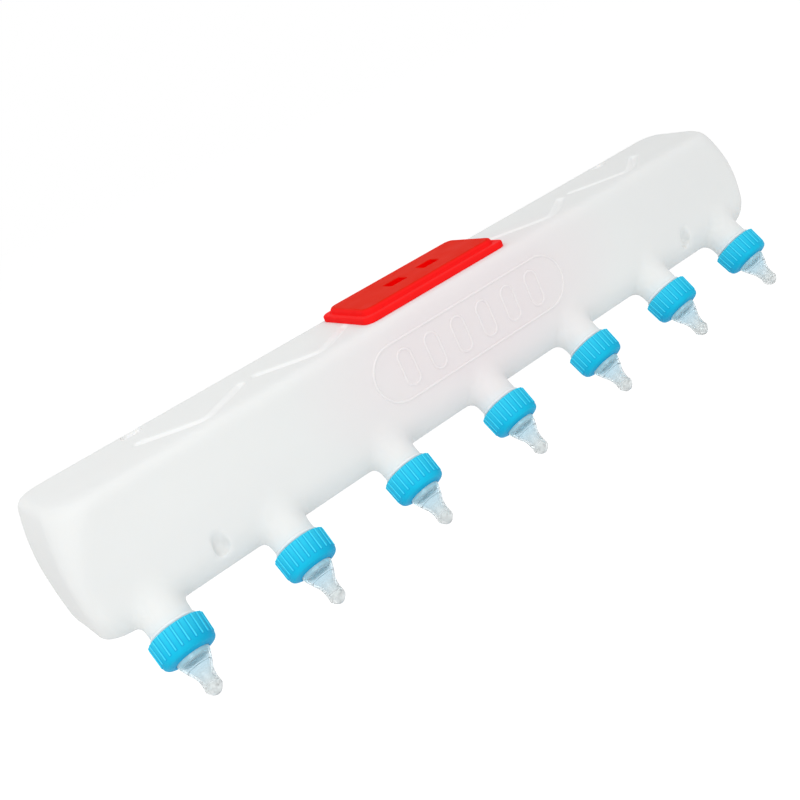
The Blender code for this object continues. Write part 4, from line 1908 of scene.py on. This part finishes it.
@dataclass
class Studio:
    """A plain pale floor, soft light and the camera at the photograph's angle."""

    floor_height: float = -0.30
    floor_half: float = 12.0
    world_level: float = 0.73
    camera_place: Triple = (-0.357574, -0.664077, 0.227056)
    camera_turn: Triple = (68.2054, 21.7252, -34.5084)
    sensor: float = 36.0
    lens: float = 40.6785
    sight: tuple[float, float] = (0.01, 50.0)
    aim: Triple = (0.0, -0.05, 0.0)
    lamps: tuple[tuple[Triple, float, float], ...] = (
        ((-0.8, -1.7, 0.9), 11.3, 1.2),
        ((1.0, -1.6, 0.3), 0.8, 1.2),
        ((-0.6, -0.2, 1.1), 2.4, 0.8),
    )

    def build(self) -> None:
        """Set up the floor, the light and the camera."""
        self.floor()
        self.world()
        for number, (place, power, size) in enumerate(self.lamps):
            self.lamp(f"softbox_{number + 1}", place, power, size)
        self.camera()
        bpy.context.scene.view_settings.view_transform = "Standard"

    def floor(self) -> None:
        """Lay the floor."""
        bm = bmesh.new()
        bmesh.ops.create_grid(bm, x_segments=1, y_segments=1, size=self.floor_half)
        bmesh.ops.translate(bm, vec=(0.0, 0.0, self.floor_height), verts=bm.verts[:])
        floor = new_object(bm, "floor")
        floor.data.materials.append(WhiteFloor().material())

    def world(self) -> None:
        """Light the scene evenly from all round, before a white background."""
        world = bpy.data.worlds.new("studio")
        bpy.context.scene.world = world
        world.use_nodes = True
        tree = world.node_tree
        tree.nodes.clear()
        mix = tree.nodes.new("ShaderNodeMixShader")
        for socket, strength in zip(mix.inputs[1:], (self.world_level, 1.0)):
            light = tree.nodes.new("ShaderNodeBackground")
            light.inputs["Color"].default_value = WHITE
            light.inputs["Strength"].default_value = strength
            tree.links.new(light.outputs[0], socket)
        seen = ray_is(tree, "Is Camera Ray", "Is Glossy Ray", "Is Transmission Ray")
        tree.links.new(seen, mix.inputs[0])
        out = tree.nodes.new("ShaderNodeOutputWorld")
        tree.links.new(mix.outputs[0], out.inputs["Surface"])

    def lamp(self, name: str, place: Triple, power: float, size: float) -> None:
        """Hang a softbox that faces the object.

        Args:
            name: Name of the lamp.
            place: Where it hangs.
            power: Its power in watts.
            size: Length of its side.
        """
        data = bpy.data.lights.new(name, "AREA")
        data.energy = power
        data.size = size
        obj = bpy.data.objects.new(name, data)
        obj.location = place
        gaze = Vector(self.aim) - Vector(place)
        obj.rotation_euler = gaze.to_track_quat("-Z", "Y").to_euler()
        bpy.context.scene.collection.objects.link(obj)

    def camera(self) -> None:
        """Set the camera where the photograph was taken from."""
        data = bpy.data.cameras.new("camera")
        data.sensor_width = self.sensor
        data.lens = self.lens
        data.clip_start, data.clip_end = self.sight
        obj = bpy.data.objects.new("camera", data)
        obj.location = self.camera_place
        obj.rotation_euler = [math.radians(angle) for angle in self.camera_turn]
        bpy.context.scene.collection.objects.link(obj)
        bpy.context.scene.camera = obj


def report(piece: str, objects: Sequence[Object]) -> None:
    """Log a piece's triangles.

    Args:
        piece: What the piece is.
        objects: Its objects.
    """
    count = 0
    for obj in objects:
        obj.data.calc_loop_triangles()
        count += len(obj.data.loop_triangles)
    LOG.info("%s: %d object(s), %d triangles", piece, len(objects), count)


def main() -> None:
    """Build and dress every piece of the drinker, then the studio round it."""
    logging.basicConfig(level=logging.INFO, format="%(message)s")
    tank = Tank()
    shell = tank.build()
    tank.dress(shell, MilkyPolyethylene())
    report("tank", [shell])
    drinkers = Drinkers()
    pairs = drinkers.build()
    # The caps' deep tone is painted shade and their pale tone a painted highlight.
    blue = MouldedPlastic(
        "cap polypropylene", Plastic.CAP_BLUE, deep=(0.002, 0.30, 0.60), painted_light=(0.06, 0.72, 0.95)
    )
    drinkers.dress(pairs, blue, ClearSilicone())
    report("caps", [cap for cap, _ in pairs])
    report("teats", [teat for _, teat in pairs])
    lid = Lid()
    cover = lid.build()
    # The lid's deep tone is painted shade on its top, and its pale tone painted light on its sides.
    red = MouldedPlastic(
        "lid polypropylene",
        Plastic.LID_RED,
        deep=(0.75, 0.018, 0.005),
        painted_light=(0.95, 0.026, 0.026),
        gloss=0.02,
    )
    lid.dress(cover, red)
    report("lid", [cover])
    Studio().build()


if __name__ == "__main__":
    main()
